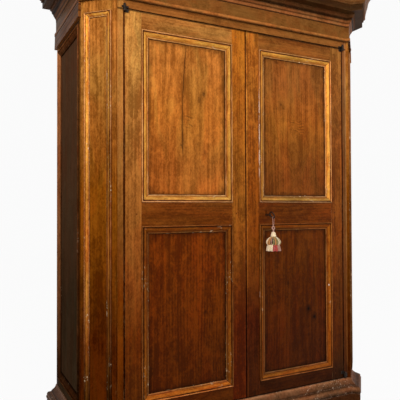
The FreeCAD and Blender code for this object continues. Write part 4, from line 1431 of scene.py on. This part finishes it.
@dataclass
class Studio:
    """Camera, lamps, floor and white surround."""
    camera_at: tuple[float, float, float] = (-1.3177, -2.2866, 1.1876)
    heading: float = 27.104
    tilt: float = 0.919
    roll: float = -0.185
    lens: float = 44.964
    sensor: float = 36.0
    lamps: tuple[Lamp, ...] = (
        Lamp("key_lamp", (-2.4, -4.6, 3.9), (0.0, -0.2, 1.5), 215.0, 3.2),
        Lamp("fill_lamp", (3.4, -3.8, 2.0), (0.2, -0.2, 1.0), 36.0, 3.0))
    surround: float = 0.34
    floor_glow: float = 0.93
    floor_reach: float = 12.0

    def camera(self) -> None:
        """Set up the camera."""
        data = bpy.data.cameras.new("camera")
        data.lens = self.lens
        data.sensor_width = self.sensor
        turn = (Matrix.Rotation(-math.radians(self.heading), 4, "Z")
                @ Matrix.Rotation(math.radians(90 + self.tilt), 4, "X")
                @ Matrix.Rotation(math.radians(self.roll), 4, "Z"))
        camera = put("camera", data)
        camera.matrix_world = Matrix.Translation(Vector(self.camera_at)) @ turn
        bpy.context.scene.camera = camera

    def floor(self) -> None:
        """Lay the pale floor."""
        mesh = bpy.data.meshes.new("studio_floor")
        reach = self.floor_reach
        mesh.from_pydata([(-reach, -reach, 0), (reach, -reach, 0), (reach, reach, 0), (-reach, reach, 0)],
                         [], [(0, 1, 2, 3)])
        graph = Graph("pale_floor")
        x, y, z = graph.place()
        speck = graph.noise(graph.vector(x, y, z), 6.0, 3.0)
        plain = graph.surface(graph.blend(speck, (0.93, 0.93, 0.93), (0.96, 0.96, 0.96)), 0.7)
        mesh.materials.append(graph.close(graph.chosen(
            graph.seen() * self.floor_glow, plain, graph.glow("Emission", (1.0, 1.0, 1.0), 1.0))))
        floor = put("studio_floor", mesh)

    def world(self) -> None:
        """Surround the cupboard with soft light, and show white behind it."""
        graph = Graph("surround", world=True)
        soft = graph.glow("Background", (1.0, 0.985, 0.965), self.surround)
        white = graph.glow("Background", (0.96, 0.96, 0.96), 1.0)
        bpy.context.scene.world = graph.close(graph.chosen(graph.seen(), soft, white))

    def build(self) -> None:
        """Set up the whole studio."""
        self.camera()
        for lamp in self.lamps:
            lamp.hang()
        self.floor()
        self.world()
        bpy.context.scene.view_settings.view_transform = "Standard"
        LOG.info("studio: camera, two lamps, floor and surround")


# ---------------------------------------------------------------- the cupboard

# The lowest inside point of the key's bow, which the cord hangs on.
BOW_LOW = (0.125762, -0.258484, 1.137499)
# How far the cord's feet reach into the tassel, and which of its pieces is the skirt.
TUCK, SKIRT = 0.002, 5

PANELS = (
    Panel("left_upper_panel", HONEY_PANEL, 1.7, (
        Knot(-0.2254, 1.7256, 0.012, 0.6), Knot(-0.345, 1.478, 0.006, 0.6), Knot(-0.248, 1.697, 0.016, 0.3),
        Knot(-0.221, 1.453, 0.014, 0.35), Crack(-0.3385, 1.40, 1.99),
        Ripple(-0.306, 1.597, 0.036, 0.05, 0.017))),
    Panel("left_lower_panel", CHESTNUT_PANEL, 8.3, (Knot(-0.22, 0.70, 0.006, 0.5),)),
    Panel("right_upper_panel", RUSSET_PANEL, 14.9, (
        Knot(0.222, 1.718, 0.010, 0.45), Knot(0.236, 1.701, 0.007, 0.4),
        Ripple(0.325, 1.604, 0.07, 0.05))),
    Panel("right_lower_panel", UMBER_PANEL, 23.1, (
        Knot(0.393, 0.656, 0.012, 1.0), Knot(0.431, 0.612, 0.013, 1.0), Knot(0.26, 0.80, 0.006, 0.4))),
)
CANT_WIDTH = 0.025
SIDE = PanelMoulding("side_moulding_left", DARK_LIT_BANDS, 71.0, fade=(0.12, 1.3), sideways=(0.0, 1.0), wear=0.1,
                     lengths=(1.1, 2.6, 0.8, 3.0), shine=0.0)
MOULDINGS = (
    PanelMoulding("left_upper_moulding", GILT_LIT_BANDS, 31.0, fade=(0.80, 1.0),
                  lengths=(1.24, 1.08, 0.97, 1.2), dust=0.5),
    PanelMoulding("right_upper_moulding", GILT_LIT_BANDS, 38.0, fade=(0.66, 0.90),
                  chips=(Chip(0.076, 1.55, 0.004, 0.26), Chip(0.073, 1.30, 0.003, 0.10)),
                  lengths=(1.05, 1.8, 1.0, 1.05), dust=0.7),
    PanelMoulding("left_lower_moulding", BROWN_LIT_BANDS, 47.0, fade=(0.85, 1.0), wear=0.3,
                  lengths=(1.0, 0.9, 1.0, 2.8), dust=0.8),
    PanelMoulding("right_lower_moulding", BROWN_LIT_BANDS, 54.0, fade=(0.66, 0.95), wear=0.3,
                  chips=(Chip(0.0735, 0.752, 0.0045, 0.05), Chip(0.522, 0.773, 0.004, 0.005)),
                  lengths=(1.2, 1.85, 1.1, 2.2), dust=1.0),
    PanelMoulding("cant_moulding_left", GILT_LIT_BANDS, 61.0, CANT_WIDTH, (0.02, 1.0), (-SLANT, SLANT),
                  wear=0.5, lengths=(1.05, 1.95, 1.0, 3.0), shine=0.0, redden=1.0),
    PanelMoulding("cant_moulding_right", GILT_LIT_BANDS, 64.0, CANT_WIDTH, (0.20, 0.8), (SLANT, SLANT)),
    SIDE,
    replace(SIDE, node="side_moulding_right", seed=78.0),
)


def hang_tassel() -> None:
    """Make the tassel and its cord, and hang them on the key."""
    bow_low = Vector(BOW_LOW)
    cord_maker = TasselCord(bow_low)
    cord, line = cord_maker.build()
    length = sum((after - before).length for before, after in zip(line, line[1:]))
    pieces = Tassel(bow_low + Vector((0.0, 0.0, TUCK - cord_maker.drop))).build()
    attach(cord, "tassel")
    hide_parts("tassel_cord")
    for piece in pieces:
        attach(piece, "tassel")
    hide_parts("tassel")
    LOG.info("tassel: %d pieces and %.0f mm of cord", len(pieces), length * 1000)


def main() -> None:
    """Build and dress the cupboard, piece by piece."""
    Studio().build()
    hang_tassel()
    Joinery().dress()
    for piece in (*PANELS, *MOULDINGS):
        piece.dress()
        LOG.info("dressed %s", piece.node)
    Iron().dress()


if __name__ == "__main__":
    logging.basicConfig(level=logging.INFO, format="%(message)s")
    main()
